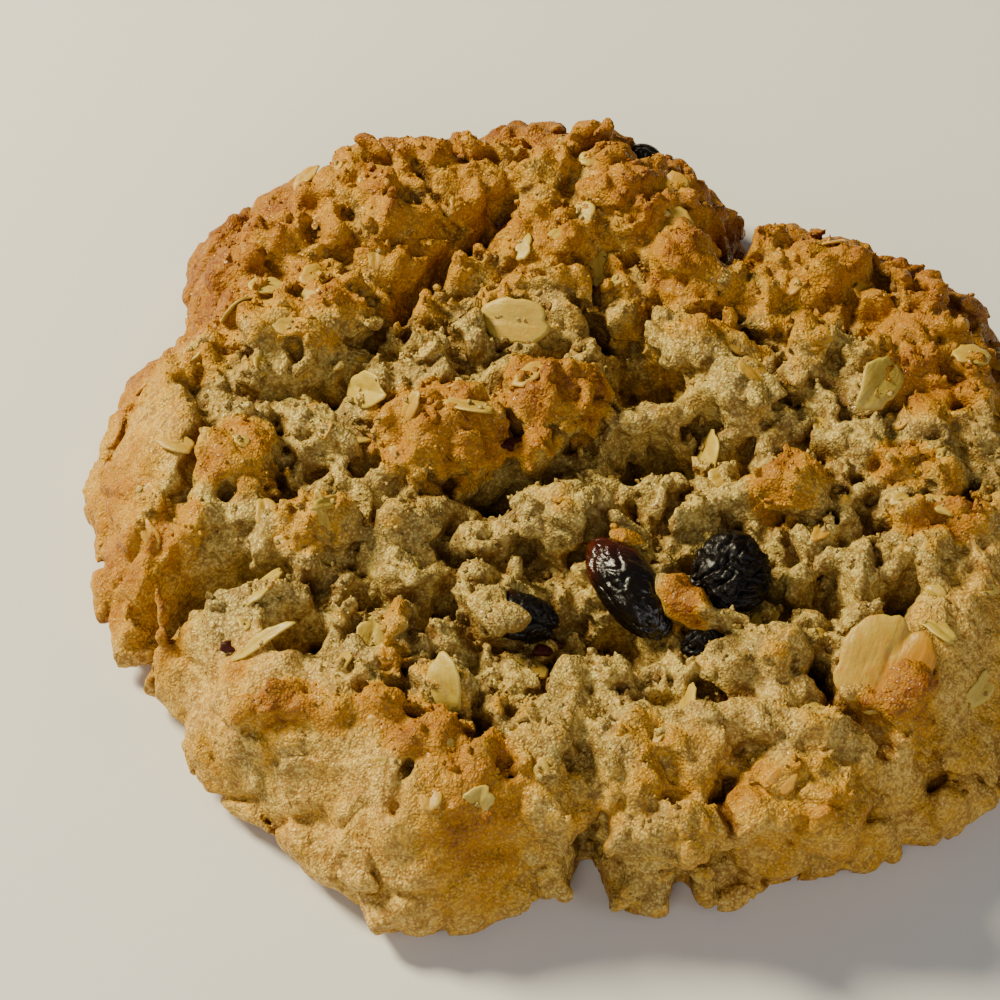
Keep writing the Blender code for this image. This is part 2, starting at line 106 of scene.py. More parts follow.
# centre, half sizes, turn, how far it is browned
lumps = (
    ((-9.2, 2.6, 11.6), (5.8, 4.4, 3.9), 10.0, 0.85),
    ((-0.4, 6.4, 11.8), (4.3, 4.0, 3.6), 0.0, 1.0),
    ((-1.6, 0.6, 12.0), (1.7, 2.1, 2.4), 0.0, 1.0),
    ((-11.9, -7.2, 12.2), (2.4, 2.2, 3.2), 0.0, 0.25),
    ((-18.9, -7.2, 12.2), (3.2, 2.8, 3.0), 10.0, 0.55),
    ((-23.5, -7.4, 10.6), (3.0, 2.6, 2.6), 0.0, 0.0),
    ((-25.6, -1.0, 12.2), (3.4, 3.6, 2.3), -10.0, 0.9),
    ((19.4, -2.2, 12.0), (3.0, 3.0, 3.9), 0.0, 0.8),
    ((31.5, -5.8, 12.0), (3.8, 1.6, 2.0), 0.0, 0.9),
    ((29.0, -0.1, 12.2), (2.4, 2.2, 2.1), 0.0, 0.8),
    ((0.6, -5.2, 11.4), (4.4, 3.0, 2.8), 0.0, 0.0),
    ((21.6, 12.2, 11.8), (2.4, 2.4, 2.9), 0.0, 0.2),
    ((12.0, 12.8, 11.5), (4.5, 2.6, 2.7), -20.0, 0.2),
    ((15.4, 7.6, 11.4), (3.4, 3.2, 2.7), 0.0, 0.1),
    ((10.7, 21.6, 12.0), (3.4, 2.8, 3.0), 0.0, 0.9),
    ((16.4, -19.2, 11.7), (4.4, 2.6, 2.9), 15.0, 0.25),
    ((-12.3, -18.6, 12.8), (0.9, 3.2, 1.8), -8.0, 0.5),
    ((-21.1, 13.9, 12.3), (5.4, 3.0, 2.4), 15.0, 0.6),
    ((-31.0, -14.9, 11.2), (1.1, 1.7, 2.8), 0.0, 0.9),
    ((19.4, -31.2, 9.2), (5.6, 4.2, 4.2), -10.0, 0.45),
    ((8.6, -33.4, 8.0), (5.0, 3.6, 4.2), 0.0, 0.35),
    ((-0.4, -31.8, 8.8), (4.0, 3.2, 3.8), 0.0, 0.35),
    ((8.0, 5.4, 10.6), (3.2, 1.0, 2.0), 15.0, 0.1),
    # the torn lip over the front crust
    ((-23.3, -25.3, 12.0), (1.6, 1.3, 1.4), 20.0, 0.85),
    ((-20.0, -24.8, 12.9), (2.2, 1.5, 1.5), -15.0, 0.9),
    ((-16.6, -26.0, 12.9), (1.5, 1.2, 1.2), 10.0, 0.65),
    ((-12.8, -25.3, 13.1), (1.9, 1.6, 1.5), 0.0, 0.7),
    ((-10.5, -28.4, 12.8), (1.8, 1.4, 1.4), 30.0, 0.85),
    ((-7.8, -27.0, 13.2), (1.7, 1.5, 1.5), -20.0, 0.9),
    ((-5.1, -29.2, 12.8), (1.6, 1.4, 1.3), 10.0, 0.75),
    ((-2.1, -30.9, 12.0), (1.4, 1.2, 1.2), 0.0, 0.55),
)
# dough that lies over the raisins
raisinCrusts = (
    ((10.6, -14.6, 12.9), (1.8, 2.5, 1.9), 35.0, 1.0),
    ((-2.9, -16.7, 13.0), (2.0, 1.4, 1.2), -10.0, 0.0),
    ((-4.9, -15.0, 12.8), (1.3, 1.0, 1.0), 20.0, 0.0),
    ((6.0, -8.6, 12.8), (1.6, 0.7, 0.7), -20.0, 0.7),
    ((28.0, -22.4, 13.3), (2.5, 2.0, 1.3), -35.0, 1.0),
    ((26.2, -24.3, 12.4), (1.9, 1.1, 1.1), -10.0, 0.9),
    ((12.6, -16.3, 12.2), (2.1, 0.9, 0.9), 12.0, 0.1),
)


def ease(low, high, value):
    share = min(1.0, max(0.0, (value - low) / (high - low)))
    return share * share * (3.0 - 2.0 * share)


def easeAll(low, high, values):
    share = np.clip((values - low) / (high - low), 0.0, 1.0)
    return share * share * (3.0 - 2.0 * share)


def between(before, start, end, after, share):
    bend = 2.0 * before - 5.0 * start + 4.0 * end - after
    twist = 3.0 * (start - end) + after - before
    return start + 0.5 * share * (end - before + share * (bend + share * twist))


def smoothPoints(points, steps):
    dense = []
    last = len(points) - 1
    for index in range(last):
        four = [points[min(last, max(0, index + offset))] for offset in (-1, 0, 1, 2)]
        for step in range(steps):
            dense.append(tuple(between(*axis, step / steps) for axis in zip(*four)))
    dense.append(points[-1])
    return dense


def ripple(x, y, size, row):
    return noise.noise(Vector((x / size, y / size, row)))


def reach(angle):
    radii = cookieForm["rimReach"]
    steps = angle % 360.0 / (360.0 / len(radii))
    first = int(steps)
    radius = between(*[radii[(first + offset) % len(radii)] for offset in (-1, 0, 1, 2)], steps - first)
    for middle, halfWidth, depth in cookieForm["bites"]:
        away = abs((angle - middle + 180.0) % 360.0 - 180.0)
        radius -= depth * (1.0 - ease(0.3, 1.4, away / halfWidth))
    turn = math.radians(angle)
    return radius + 0.5 * ripple(math.cos(turn), math.sin(turn), 0.16, 2.7)


def crumbShare(x, y, share, angle):
    near = ease(150.0, 185.0, angle) * (1.0 - ease(330.0, 358.0, angle))
    edge = cookieForm["nearCrustEdge"] * near + cookieForm["farCrustEdge"] * (1.0 - near)
    edge += 0.05 * ripple(x, y, 6.2, 3.1)
    return 1.0 - ease(edge - 0.04, edge + 0.06, share)


def clodAt(x, y, size, row):
    distances, middles = noise.voronoi(Vector((x / size + row, y / size + 0.7 * row, 0.31 * row)))
    level = 1.6 * noise.noise(middles[0] * 3.7)
    return distances[0], 1.0 - ease(0.0, 0.21, distances[1] - distances[0]), level


def distanceToPath(x, y, path):
    nearest = math.inf
    for (ax, ay), (bx, by) in zip(path, path[1:]):
        along = ((x - ax) * (bx - ax) + (y - ay) * (by - ay)) / ((bx - ax) ** 2 + (by - ay) ** 2)
        along = min(1.0, max(0.0, along))
        nearest = min(nearest, math.hypot(x - ax - along * (bx - ax), y - ay - along * (by - ay)))
    return nearest


def nearPath(x, y, path, margin):
    return (min(p[0] for p in path) - margin < x < max(p[0] for p in path) + margin
            and min(p[1] for p in path) - margin < y < max(p[1] for p in path) + margin)


def relief(x, y, share, crumb):
    warpedX = x + 1.6 * ripple(x, y, 4.5, 1.7) + 0.6 * ripple(x, y, 1.7, 4.1)
    warpedY = y + 1.6 * ripple(x, y, 4.5, 7.3) + 0.6 * ripple(x, y, 1.7, 9.1)
    height = 0.9 * ripple(x, y, 11.0, 0.4)
    for row, (size, rise, crevice, onCrust) in enumerate(cookieForm["clods"]):
        middle, closeness, level = clodAt(warpedX, warpedY, size, 1.3 + 4.6 * row)
        strength = onCrust + (1.0 - onCrust) * crumb
        height += strength * (rise * (level + 0.55 - middle) - crevice * closeness)
    height *= 1.0 - ease(0.93, 1.0, share)
    for pitX, pitY, halfLength, halfWidth, turn, depth in pits:
        if math.hypot(x - pitX, y - pitY) > 1.3 * (halfLength + halfWidth):
            continue
        cosine, sine = math.cos(math.radians(turn)), math.sin(math.radians(turn))
        along = ((x - pitX) * cosine + (y - pitY) * sine) / halfLength
        across = ((y - pitY) * cosine - (x - pitX) * sine) / halfWidth
        height -= depth * (1.0 - ease(0.45, 1.1, math.hypot(along, across) + 0.25 * ripple(x, y, 1.4, 2.2)))
    crookedX = x + 0.8 * ripple(x, y, 1.25, 5.0)
    crookedY = y + 0.8 * ripple(x, y, 1.25, 6.0)
    for halfWidth, depth, path in cracks:
        if nearPath(crookedX, crookedY, path, 2.5):
            height -= depth * (1.0 - ease(0.3, 1.3, distanceToPath(crookedX, crookedY, path) / halfWidth))
    return height


def wallBump(place):
    bump = sum(height * noise.noise(place / size) for size, height in cookieForm["wallBumps"])
    drift = 0.9 * noise.noise_vector(place / 2.4)
    distances = noise.voronoi((place + drift) / cookieForm["creaseSpacing"])[0]
    return bump - cookieForm["creaseDepth"] * (1.0 - ease(0.0, 0.16, distances[1] - distances[0]))


# noise for millions of points at once
def scramble(cell, seed):
    mixed = (cell[:, 0].astype(np.uint32) * np.uint32(374761393)
             ^ cell[:, 1].astype(np.uint32) * np.uint32(668265263)
             ^ cell[:, 2].astype(np.uint32) * np.uint32(2246822519)
             ^ np.uint32(seed * 977 + 13))
    mixed = (mixed ^ (mixed >> np.uint32(15))) * np.uint32(2246822519)
    mixed = (mixed ^ (mixed >> np.uint32(13))) * np.uint32(3266489917)
    return mixed ^ (mixed >> np.uint32(16))


def threeDraws(mixed):
    draws = (mixed, mixed * np.uint32(1664525) + np.uint32(1013904223), mixed * np.uint32(22695477) + np.uint32(1))
    return [((draw >> np.uint32(8)) & np.uint32(0xffff)).astype(np.float32) / np.float32(65536.0) for draw in draws]


def softNoise(points, size, seed):
    scaled = (points / size).astype(np.float32)
    cell = np.floor(scaled).astype(np.int32)
    inside = scaled - cell
    fade = inside * inside * inside * (inside * (inside * 6.0 - 15.0) + 10.0)
    total = np.zeros(len(points), np.float32)
    for corner in np.ndindex(2, 2, 2):
        slope = threeDraws(scramble(cell + np.array(corner, np.int32), seed))
        part = sum((slope[axis] * 2.0 - 1.0) * (inside[:, axis] - corner[axis]) for axis in range(3))
        for axis in range(3):
            part = part * (fade[:, axis] if corner[axis] else 1.0 - fade[:, axis])
        total += part
    return total * 1.6


def grainNoise(points, size, seed):
    scaled = (points / size).astype(np.float32)
    cell = np.floor(scaled).astype(np.int32)
    nearest = np.full(len(points), 9.0, np.float32)
    second = nearest.copy()
    for step in np.ndindex(3, 3, 3):
        other = cell + np.array(step, np.int32) - 1
        jitter = threeDraws(scramble(other, seed))
        gap = sum((other[:, axis] + jitter[axis] - scaled[:, axis]) ** 2 for axis in range(3))
        second = np.minimum(second, np.maximum(nearest, gap))
        nearest = np.minimum(nearest, gap)
    return np.sqrt(nearest), np.sqrt(second)


def loadMesh(name, points, faces):
    mesh = bpy.data.meshes.new(name)
    faces = np.ascontiguousarray(faces, np.int32)
    count, corners = faces.shape
    mesh.vertices.add(len(points))
    mesh.vertices.foreach_set("co", (np.asarray(points) * mm).astype(np.float32).ravel())
    mesh.loops.add(count * corners)
    mesh.loops.foreach_set("vertex_index", faces.ravel())
    mesh.polygons.add(count)
    mesh.polygons.foreach_set("loop_start", np.arange(count, dtype=np.int32) * corners)
    mesh.polygons.foreach_set("loop_total", np.full(count, corners, np.int32))
    mesh.update(calc_edges=True)
    mesh.shade_smooth()
    return mesh


def meshPiece(name, points, faces, replaced=None):
    piece = bpy.data.objects.new(name, loadMesh(name, points, faces))
    bpy.context.scene.collection.objects.link(piece)
    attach(piece, "root")
    if replaced:
        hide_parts(replaced)
    return piece


def setAttribute(piece, name, values, kind="FLOAT"):
    made = piece.data.attributes.new(name, kind, "POINT")
    field = "vector" if kind == "FLOAT_VECTOR" else "value"
    made.data.foreach_set(field, np.ascontiguousarray(values, np.float32).ravel())


# raisins: the same places and sizes as the solids
raisins = {
    "raisin_1": {"centre": (6.2, -12.8, 11.9), "half": (5.3, 2.5, 2.5), "turn": -56.0, "tilt": 8.0,
                 "fold": 0.11, "gloss": 1.0, "red": 0.8},
    "raisin_2": {"centre": (14.4, -11.2, 11.9), "half": (3.3, 3.8, 2.9), "turn": 0.0, "tilt": 0.0,
                 "fold": 0.24, "gloss": 0.35, "red": 0.0},
    "raisin_3": {"centre": (-2.4, -15.4, 11.4), "half": (3.2, 2.1, 1.9), "turn": -12.0, "tilt": 0.0,
                 "fold": 0.2, "gloss": 0.5, "red": 0.5},
    "raisin_4": {"centre": (12.3, -17.5, 11.0), "half": (1.9, 1.4, 1.6), "turn": 12.0, "tilt": 0.0,
                 "fold": 0.26, "gloss": 0.3, "red": 0.0},
    "raisin_5": {"centre": (7.3, 34.4, 9.4), "half": (2.2, 2.6, 1.9), "turn": 10.0, "tilt": 0.0,
                 "fold": 0.2, "gloss": 0.5, "red": 0.9},
}


def raisinPose(facts):
    return Euler((0.0, math.radians(90.0 + facts["tilt"]), math.radians(facts["turn"])))


# the dough: a field that is negative inside, on a fine grid
doughGrid = {
    "voxel": 0.29,
    "low": (-46.0, -46.0, -1.2),
    "high": (47.0, 46.5, 18.5),
    "band": 1.8,
    "inward": -1.5, "outward": 1.1,     # how deep and how far out the crumb is worked
    "triangles": 197000,
    "socketGap": 0.12,
    # grains of crumb from coarse to fine: size, height, crease, share on smooth and on rough crust
    "grains": ((3.3, 0.86, 0.24, 0.2, 0.6), (1.6, 0.42, 0.06, 0.4, 0.95), (0.82, 0.29, 0.0, 0.75, 1.0)),
    # direction, half width and roughness of the crust: smooth at the left, broken at the front and far side
    "roughCrust": ((308.0, 46.0, 1.0), (356.0, 34.0, 0.75), (90.0, 84.0, 0.7)),
    "farCalm": (8.0, 32.0, 0.35),       # the far third is softer: from, to, share
    # where the crust is broken open: x, y, radius, share
    "broken": ((-24.5, -12.0, 6.5, 1.0), (-28.2, -5.4, 5.4, 1.0), (5.0, -27.0, 8.0, 0.9), (-1.0, -34.0, 5.0, 0.5), (8.5, -36.0, 6.0, 0.7),
               (20.0, -27.0, 6.0, 0.6), (-20.5, -25.0, 4.2, 0.8), (-9.0, -27.2, 4.6, 0.85), (-14.5, -25.4, 2.6, 0.6)),
}


def buildField():
    voxel = doughGrid["voxel"]
    low, high = np.array(doughGrid["low"]), np.array(doughGrid["high"])
    counts = np.ceil((high - low) / voxel).astype(int)
    xs, ys, zs = [low[axis] + voxel * np.arange(counts[axis]) for axis in range(3)]
    shares = np.zeros(counts[:2], np.float32)
    crumbs = np.zeros(counts[:2], np.float32)
    reliefs = np.zeros(counts[:2], np.float32)
    for i, x in enumerate(xs):
        for j, y in enumerate(ys):
            angle = math.degrees(math.atan2(y, x)) % 360.0
            share = math.hypot(x, y) / reach(angle)
            shares[i, j] = share
            if share < 1.06:
                crumb = crumbShare(x, y, share, angle)
                reliefs[i, j] = relief(x, y, share, crumb)
                for middleX, middleY, radius, amount in doughGrid["broken"]:
                    away = math.hypot(x - middleX, y - middleY) / radius + 0.35 * ripple(x, y, 3.0, 4.4)
                    crumb = max(crumb, amount * (1.0 - ease(0.6, 1.1, away)))
                crumbs[i, j] = crumb
    profile = np.array(smoothPoints(cookieForm["topProfile"], 10))
    under = np.array(cookieForm["undersideProfile"])
    widest = cookieForm["widestHeight"]
    top = np.maximum(widest, np.interp(shares, profile[:, 0], profile[:, 1]) + reliefs)
    top = np.where(shares > 1.0, widest - (shares - 1.0) * 160.0, top)
    base = np.interp(shares, under[:, 0], under[:, 1])
    base = np.where(shares > 1.0, widest + (shares - 1.0) * 160.0, base)
    heights = zs[None, None, :]
    field = np.maximum(heights - top[:, :, None], np.maximum(base[:, :, None] - heights, -heights))
    field = field.astype(np.float32)
    slopes = np.gradient(field, voxel)
    field /= np.maximum(1.0, np.sqrt(sum(slope * slope for slope in slopes)))
    return field, (xs, ys, zs), shares, crumbs


def blendIn(field, axes, spot, blend):
    centre, half, turn, brown = spot
    voxel = doughGrid["voxel"]
    margin = max(half) + 2.5
    spans = []
    for axis in range(3):
        first = int((centre[axis] - margin - axes[axis][0]) / voxel)
        last = int((centre[axis] + margin - axes[axis][0]) / voxel) + 1
        spans.append(slice(max(0, first), min(len(axes[axis]), last)))
    x, y, z = np.meshgrid(*[axes[axis][spans[axis]] - centre[axis] for axis in range(3)], indexing="ij")
    places = np.stack([x.ravel(), y.ravel(), z.ravel()], 1) + np.array(centre)
    size = min(1.0, min(half) / 1.8)
    bump = size * (0.9 * softNoise(places, 3.0, 11) + 0.5 * softNoise(places, 1.6, 12)) + 0.22 * softNoise(places, 0.8, 13)
    cosine, sine = math.cos(math.radians(turn)), math.sin(math.radians(turn))
    along, across, up = (x * cosine + y * sine) / half[0], (y * cosine - x * sine) / half[1], z / half[2]
    away = (np.sqrt(along ** 2 + across ** 2 + up ** 2) - 1.0) * min(half) + bump.reshape(x.shape)
    old = field[tuple(spans)]
    mixing = np.clip(0.5 + 0.5 * (away - old) / blend, 0.0, 1.0)
    field[tuple(spans)] = away * (1.0 - mixing) + old * mixing - blend * mixing * (1.0 - mixing)


def cutSocket(field, axes, facts):
    pose = np.array(raisinPose(facts).to_matrix())
    half = np.array([facts["half"][2], facts["half"][1], facts["half"][0]]) + doughGrid["socketGap"]
    x, y, z = np.meshgrid(*[axes[axis] - facts["centre"][axis] for axis in range(3)], indexing="ij", sparse=True)
    close = np.argwhere((x * x + y * y + z * z) < (max(half) + 2.0) ** 2)
    places = np.stack([axes[axis][close[:, axis]] - facts["centre"][axis] for axis in range(3)], 1)
    inPose = places @ pose
    away = (np.sqrt(((inPose / half) ** 2).sum(1)) - 1.0) * min(half)
    index = tuple(close.T)
    field[index] = np.maximum(field[index], -away)


def sampleField(field, axes, points):
    spot = [(points[:, axis] - axes[axis][0]) / doughGrid["voxel"] for axis in range(3)]
    cell = [np.clip(np.floor(s).astype(int), 0, len(axes[axis]) - 2) for axis, s in enumerate(spot)]
    inside = [np.clip(s - c, 0.0, 1.0) for s, c in zip(spot, cell)]
    total = 0.0
    for corner in np.ndindex(2, 2, 2):
        weight = 1.0
        for axis in range(3):
            weight = weight * (inside[axis] if corner[axis] else 1.0 - inside[axis])
        total = total + weight * field[cell[0] + corner[0], cell[1] + corner[1], cell[2] + corner[2]]
    return total


def breakUp(field, axes, shares, crumbs):
    heights = axes[2][None, None, :]
    overFloor = (np.abs(field + heights) < 0.4) & (heights < 2.0) & (shares[:, :, None] < 0.9)
    close = np.argwhere((field > doughGrid["inward"]) & (field < doughGrid["outward"]) & ~overFloor)
    places = np.stack([axes[axis][close[:, axis]] for axis in range(3)], 1).astype(np.float32)
    share = shares[close[:, 0], close[:, 1]]
    crumb = crumbs[close[:, 0], close[:, 1]] * np.clip((places[:, 2] - 1.2) / 1.5, 0.0, 1.0)
    change = np.zeros(len(places), np.float32)
    # the side wall stands out and creases as on the solid
    weight = easeAll(0.8, 0.93, share) * easeAll(0.0, 1.6, places[:, 2])
    for index in np.flatnonzero(weight > 0.02):
        change[index] = -weight[index] * wallBump(Vector(places[index].tolist()))
    angle = np.degrees(np.arctan2(places[:, 1], places[:, 0])) % 360.0
    rough = np.zeros(len(places))
    for middle, halfWidth, amount in doughGrid["roughCrust"]:
        away = np.abs((angle - middle + 180.0) % 360.0 - 180.0) + 14.0 * softNoise(places, 7.0, 33)
        rough = np.maximum(rough, amount * (1.0 - easeAll(0.8, 1.25, away / halfWidth)))
    warp = np.stack([softNoise(places, 2.6, 31 + axis) for axis in range(3)], 1) * 0.8
    warp += np.stack([softNoise(places, 0.9, 34 + axis) for axis in range(3)], 1) * 0.22
    calmFrom, calmTo, calmShare = doughGrid["farCalm"]
    calm = 1.0 - calmShare * easeAll(calmFrom, calmTo, places[:, 1])
    for row, (size, height, crease, onSmooth, onRough) in enumerate(doughGrid["grains"]):
        nearest, second = grainNoise(places + warp, size, 41 + row)
        strength = onSmooth + (onRough - onSmooth) * rough
        strength += (1.0 - strength) * crumb
        strength *= calm
        groove = 1.0 - np.clip((second - nearest) / 0.22, 0.0, 1.0)
        change += strength * (height * (nearest * nearest - 0.22) + crease * groove)
    strength = 0.3 * rough + (1.0 - 0.3 * rough) * crumb
    change += strength * (0.45 * softNoise(places, 2.3, 52) + 0.12 * softNoise(places, 0.9, 51))
    change += 0.07 * softNoise(places, 1.0, 53)
    # shallow crackle on the crust
    nearest, second = grainNoise(places + warp, 3.4, 61)
    crackle = 1.0 - np.clip((second - nearest) / 0.12, 0.0, 1.0)
    change += (1.0 - crumb) * 0.3 * crackle * easeAll(-0.1, 0.25, softNoise(places, 7.0, 62))
    field[tuple(close.T)] += change * np.clip(places[:, 2] / 1.2, 0.0, 1.0)


def skinOf(field):
    grid = openvdb.FloatGrid()
    grid.background = 3.0
    grid.copyFromArray(field)
    return grid.convertToQuads(0.0)


def trueDistances(field):
    points, quads = skinOf(field)
    wide = doughGrid["band"] / doughGrid["voxel"] + 1.0
    level = openvdb.FloatGrid.createLevelSetFromPolygons(points, quads=quads, halfWidth=wide)
    distances = np.empty(field.shape, np.float32)
    level.copyToArray(distances)
    return distances * doughGrid["voxel"]


field, axes, shares, crumbs = buildField()
report("cross-section and relief")
for spot in lumps:
    blendIn(field, axes, spot, 0.5)
field = trueDistances(field)
report("true distances")
breakUp(field, axes, shares, crumbs)
for facts in raisins.values():
    cutSocket(field, axes, facts)
for spot in raisinCrusts:
    blendIn(field, axes, spot, 0.3)
report("clods, crumb and sockets")

def thinOut(points, triangles, ratio):
    # fewer triangles, without the loose scraps that the grain cut off
    raw = bpy.data.objects.new("raw", loadMesh("raw", points, triangles))
    bpy.context.scene.collection.objects.link(raw)
    raw.modifiers.new("thin", "DECIMATE").ratio = ratio
    mesh = bpy.data.meshes.new_from_object(raw.evaluated_get(bpy.context.evaluated_depsgraph_get()))
    edges = np.empty(len(mesh.edges) * 2, np.int32)
    mesh.edges.foreach_get("vertices", edges)
    first, second = edges.reshape(-1, 2).T
    label = np.arange(len(mesh.vertices))
    before = None
    while before is None or (label != before).any():
        before = label.copy()
        lower = np.minimum(label[first], label[second])
        np.minimum.at(label, first, lower)
        np.minimum.at(label, second, lower)
        label = label[label]
    names, sizes = np.unique(label, return_counts=True)
    keep = label == names[sizes.argmax()]
    corners = np.empty(len(mesh.loops), np.int32)
    mesh.loops.foreach_get("vertex_index", corners)
    corners = corners.reshape(-1, 3)
    places = np.empty(len(mesh.vertices) * 3, np.float32)
    mesh.vertices.foreach_get("co", places)
    bpy.data.objects.remove(raw)
    bpy.data.meshes.remove(mesh)
    return places.reshape(-1, 3)[keep] / mm, (np.cumsum(keep) - 1)[corners[keep[corners[:, 0]]]]


doughPoints, quads = skinOf(field)
doughPoints = doughPoints * doughGrid["voxel"] + np.array(doughGrid["low"])
doughPoints[:, 2] = np.maximum(doughPoints[:, 2], 0.0)
doughFaces = np.vstack([quads[:, (0, 1, 2)], quads[:, (0, 2, 3)]])
report(f"field turned into {len(doughFaces)} triangles")
ratio = min(1.0, doughGrid["triangles"] / len(doughFaces))
doughPoints, doughFaces = thinOut(doughPoints, doughFaces, ratio)
dough = meshPiece("dough", doughPoints, doughFaces, "cookie")
report(f"dough mesh, {len(doughFaces)} triangles")


def vertexNormals(mesh):
    normals = np.empty(len(mesh.vertices) * 3, np.float32)
    mesh.vertex_normals.foreach_get("vector", normals)
    return normals.reshape(-1, 3)


def gridSample(values, points):
    i = np.clip(((points[:, 0] - axes[0][0]) / doughGrid["voxel"]).round().astype(int), 0, len(axes[0]) - 1)
    j = np.clip(((points[:, 1] - axes[1][0]) / doughGrid["voxel"]).round().astype(int), 0, len(axes[1]) - 1)
    return values[i, j]


# how browned the dough is, from place, height and the lumps
browning = {
    "farStart": 8.0, "farFull": 26.0,       # distance towards the far rim
    "farShare": 0.7,
    "rimShare": 0.36,
    "baseShare": 0.6,
    "tipHeight": (12.2, 15.5),
    "tipShare": 0.42,
    # x, y, radius, share: patches browned on their own; the one at (-6.0, -32.5) darkens the low front crust, partly as
    # browning and partly as painted shade
    "patches": ((-21.0, -25.2, 3.4, 0.45), (-8.0, -27.0, 4.0, 0.5), (-3.0, -24.8, 2.2, 0.5), (-30.5, -16.0, 1.8, 0.7),
                (-30.5, -6.6, 2.8, 0.8), (-6.0, -32.5, 6.0, 0.4), (-24.5, -20.5, 1.6, 0.5),
                (9.0, -30.0, 5.0, 0.3), (-6.0, -35.0, 5.0, 0.3), (22.0, -33.0, 6.0, 0.3),
                (-36.0, -2.0, 5.0, 0.45), (-35.0, -9.0, 4.0, 0.5), (28.8, -24.5, 2.2, 0.6), (33.0, -4.0, 4.0, 0.5),
                (31.0, 8.0, 5.0, 0.7), (22.0, -3.0, 2.5, 0.4), (-12.5, -16.0, 1.6, 0.6), (10.6, -14.6, 2.4, 1.0)),
}


def browned(points, normals, openness, share, crumb):
    angle = np.degrees(np.arctan2(points[:, 1], points[:, 0])) % 360.0
    far = easeAll(browning["farStart"], browning["farFull"], points[:, 1] + 0.25 * np.abs(points[:, 0]))
    blotch = softNoise(points, 5.0, 71)
    fine = softNoise(points, 1.5, 72)
    low, high = browning["tipHeight"]
    tone = browning["farShare"] * far
    frontSide = np.clip(0.35 + 0.3 * easeAll(-12.0, 6.0, points[:, 0]) + 0.65 * easeAll(-25.0, 5.0, points[:, 1]), 0.0, 1.0)
    tone += browning["rimShare"] * easeAll(0.72, 0.95, share) * frontSide
    tone += browning["baseShare"] * easeAll(0.3, 0.9, -normals[:, 2])
    tips = easeAll(low, high, points[:, 2]) * easeAll(0.1, 0.8, normals[:, 2])
    tone += browning["tipShare"] * tips * (0.4 + 1.2 * easeAll(-0.1, 0.3, softNoise(points, 6.0, 73)))
    for x, y, radius, amount in browning["patches"]:
        near = np.hypot(points[:, 0] - x, points[:, 1] - y) / radius
        tone += amount * (1.0 - easeAll(0.35, 1.2, near + 0.35 * blotch))
    for centre, half, turn, brown in lumps + raisinCrusts:
        if brown == 0.0:
            continue
        near = np.sqrt((((points - np.array(centre)) / (np.array(half) + 0.5)) ** 2).sum(1))
        onTop = 0.35 + 0.65 * easeAll(-0.2, 0.6, normals[:, 2])
        tone = np.maximum(tone, brown * (1.0 - easeAll(0.85, 1.3, near)) * onTop)
    tone += 0.3 * blotch + 0.25 * fine
    tone -= 0.45 * (1.0 - openness) * crumb
    return np.clip(tone, 0.0, 1.0)


normals = vertexNormals(dough.data)
# openness: how far the dough round each point lies open, sampled along its normal; the colour uses it for painted shade
# in hollows and a painted highlight on crumb tips
openness = np.ones(len(doughPoints))
for distance, share in ((0.7, 0.25), (1.6, 0.35), (3.2, 0.4)):
    reached = sampleField(field, axes, doughPoints + normals * distance) / distance
    openness -= share * (1.0 - np.clip(reached * 1.25, 0.0, 1.0))
doughShare = gridSample(shares, doughPoints)
doughCrumb = gridSample(crumbs, doughPoints) * np.clip((doughPoints[:, 2] - 1.2) / 1.5, 0.0, 1.0)
setAttribute(dough, "openness", openness)
setAttribute(dough, "crumb", doughCrumb)
doughToasted = browned(doughPoints, normals, openness, doughShare, doughCrumb)
setAttribute(dough, "toasted", doughToasted)
report("browning")

doughTree = BVHTree.FromPolygons(doughPoints.tolist(), doughFaces.tolist())


def surfaceUnder(x, y):
    return doughTree.ray_cast(Vector((x, y, 40.0)), Vector((0.0, 0.0, -1.0)))[:2]


# oat flakes: x, y, half length, half width, turn, lean, roll, how far it stands out, toast
shownFlakes = (
    (-7.0, 3.1, 2.3, 1.6, 10.0, 10.0, 20.0, 0.25, 0.35),
    (-15.4, 6.9, 2.6, 1.5, 45.0, 35.0, -20.0, 0.5, 0.0),
    (-17.7, -6.9, 3.2, 0.55, -55.0, 10.0, 30.0, 0.7, 0.0),
    (-18.4, -8.0, 2.2, 0.5, -62.0, 0.0, 30.0, 0.6, 0.0),
    (-22.8, -19.4, 2.9, 0.6, -68.0, 5.0, 30.0, 0.6, 0.0),
    (-14.2, -18.4, 2.5, 1.3, 25.0, 5.0, -10.0, 0.25, 0.0),
    (-8.1, -23.7, 2.5, 1.4, -42.0, 20.0, 20.0, 0.5, 0.0),
    (10.6, -24.0, 2.7, 1.9, 60.0, 50.0, 15.0, 0.8, 0.15),
    (30.4, -17.0, 2.1, 0.9, 80.0, 10.0, 25.0, 0.4, 0.1),
    (34.2, -20.0, 1.9, 1.1, 0.0, 5.0, 0.0, 0.2, 0.1),
    (26.8, 7.6, 2.8, 1.7, 8.0, 12.0, 0.0, 0.5, 0.1),
    (-3.3, 14.9, 2.9, 2.1, 10.0, 8.0, 0.0, 0.25, 0.3),
    (12.9, 3.2, 1.9, 1.5, 20.0, 20.0, 0.0, 0.4, 0.05),
    (-24.2, 17.5, 1.7, 1.3, 0.0, 5.0, 0.0, 0.2, 0.2),
    (-26.8, 15.5, 1.9, 1.2, -20.0, 5.0, 0.0, 0.2, 0.1),
    (-21.0, 16.1, 1.5, 1.1, 30.0, 5.0, 0.0, 0.2, 0.2),
    (-30.0, 11.4, 1.3, 1.0, 0.0, 0.0, 0.0, 0.15, 0.1),
    (-22.8, -13.6, 2.6, 1.0, 28.0, 15.0, 0.0, 0.3, 0.0),
)
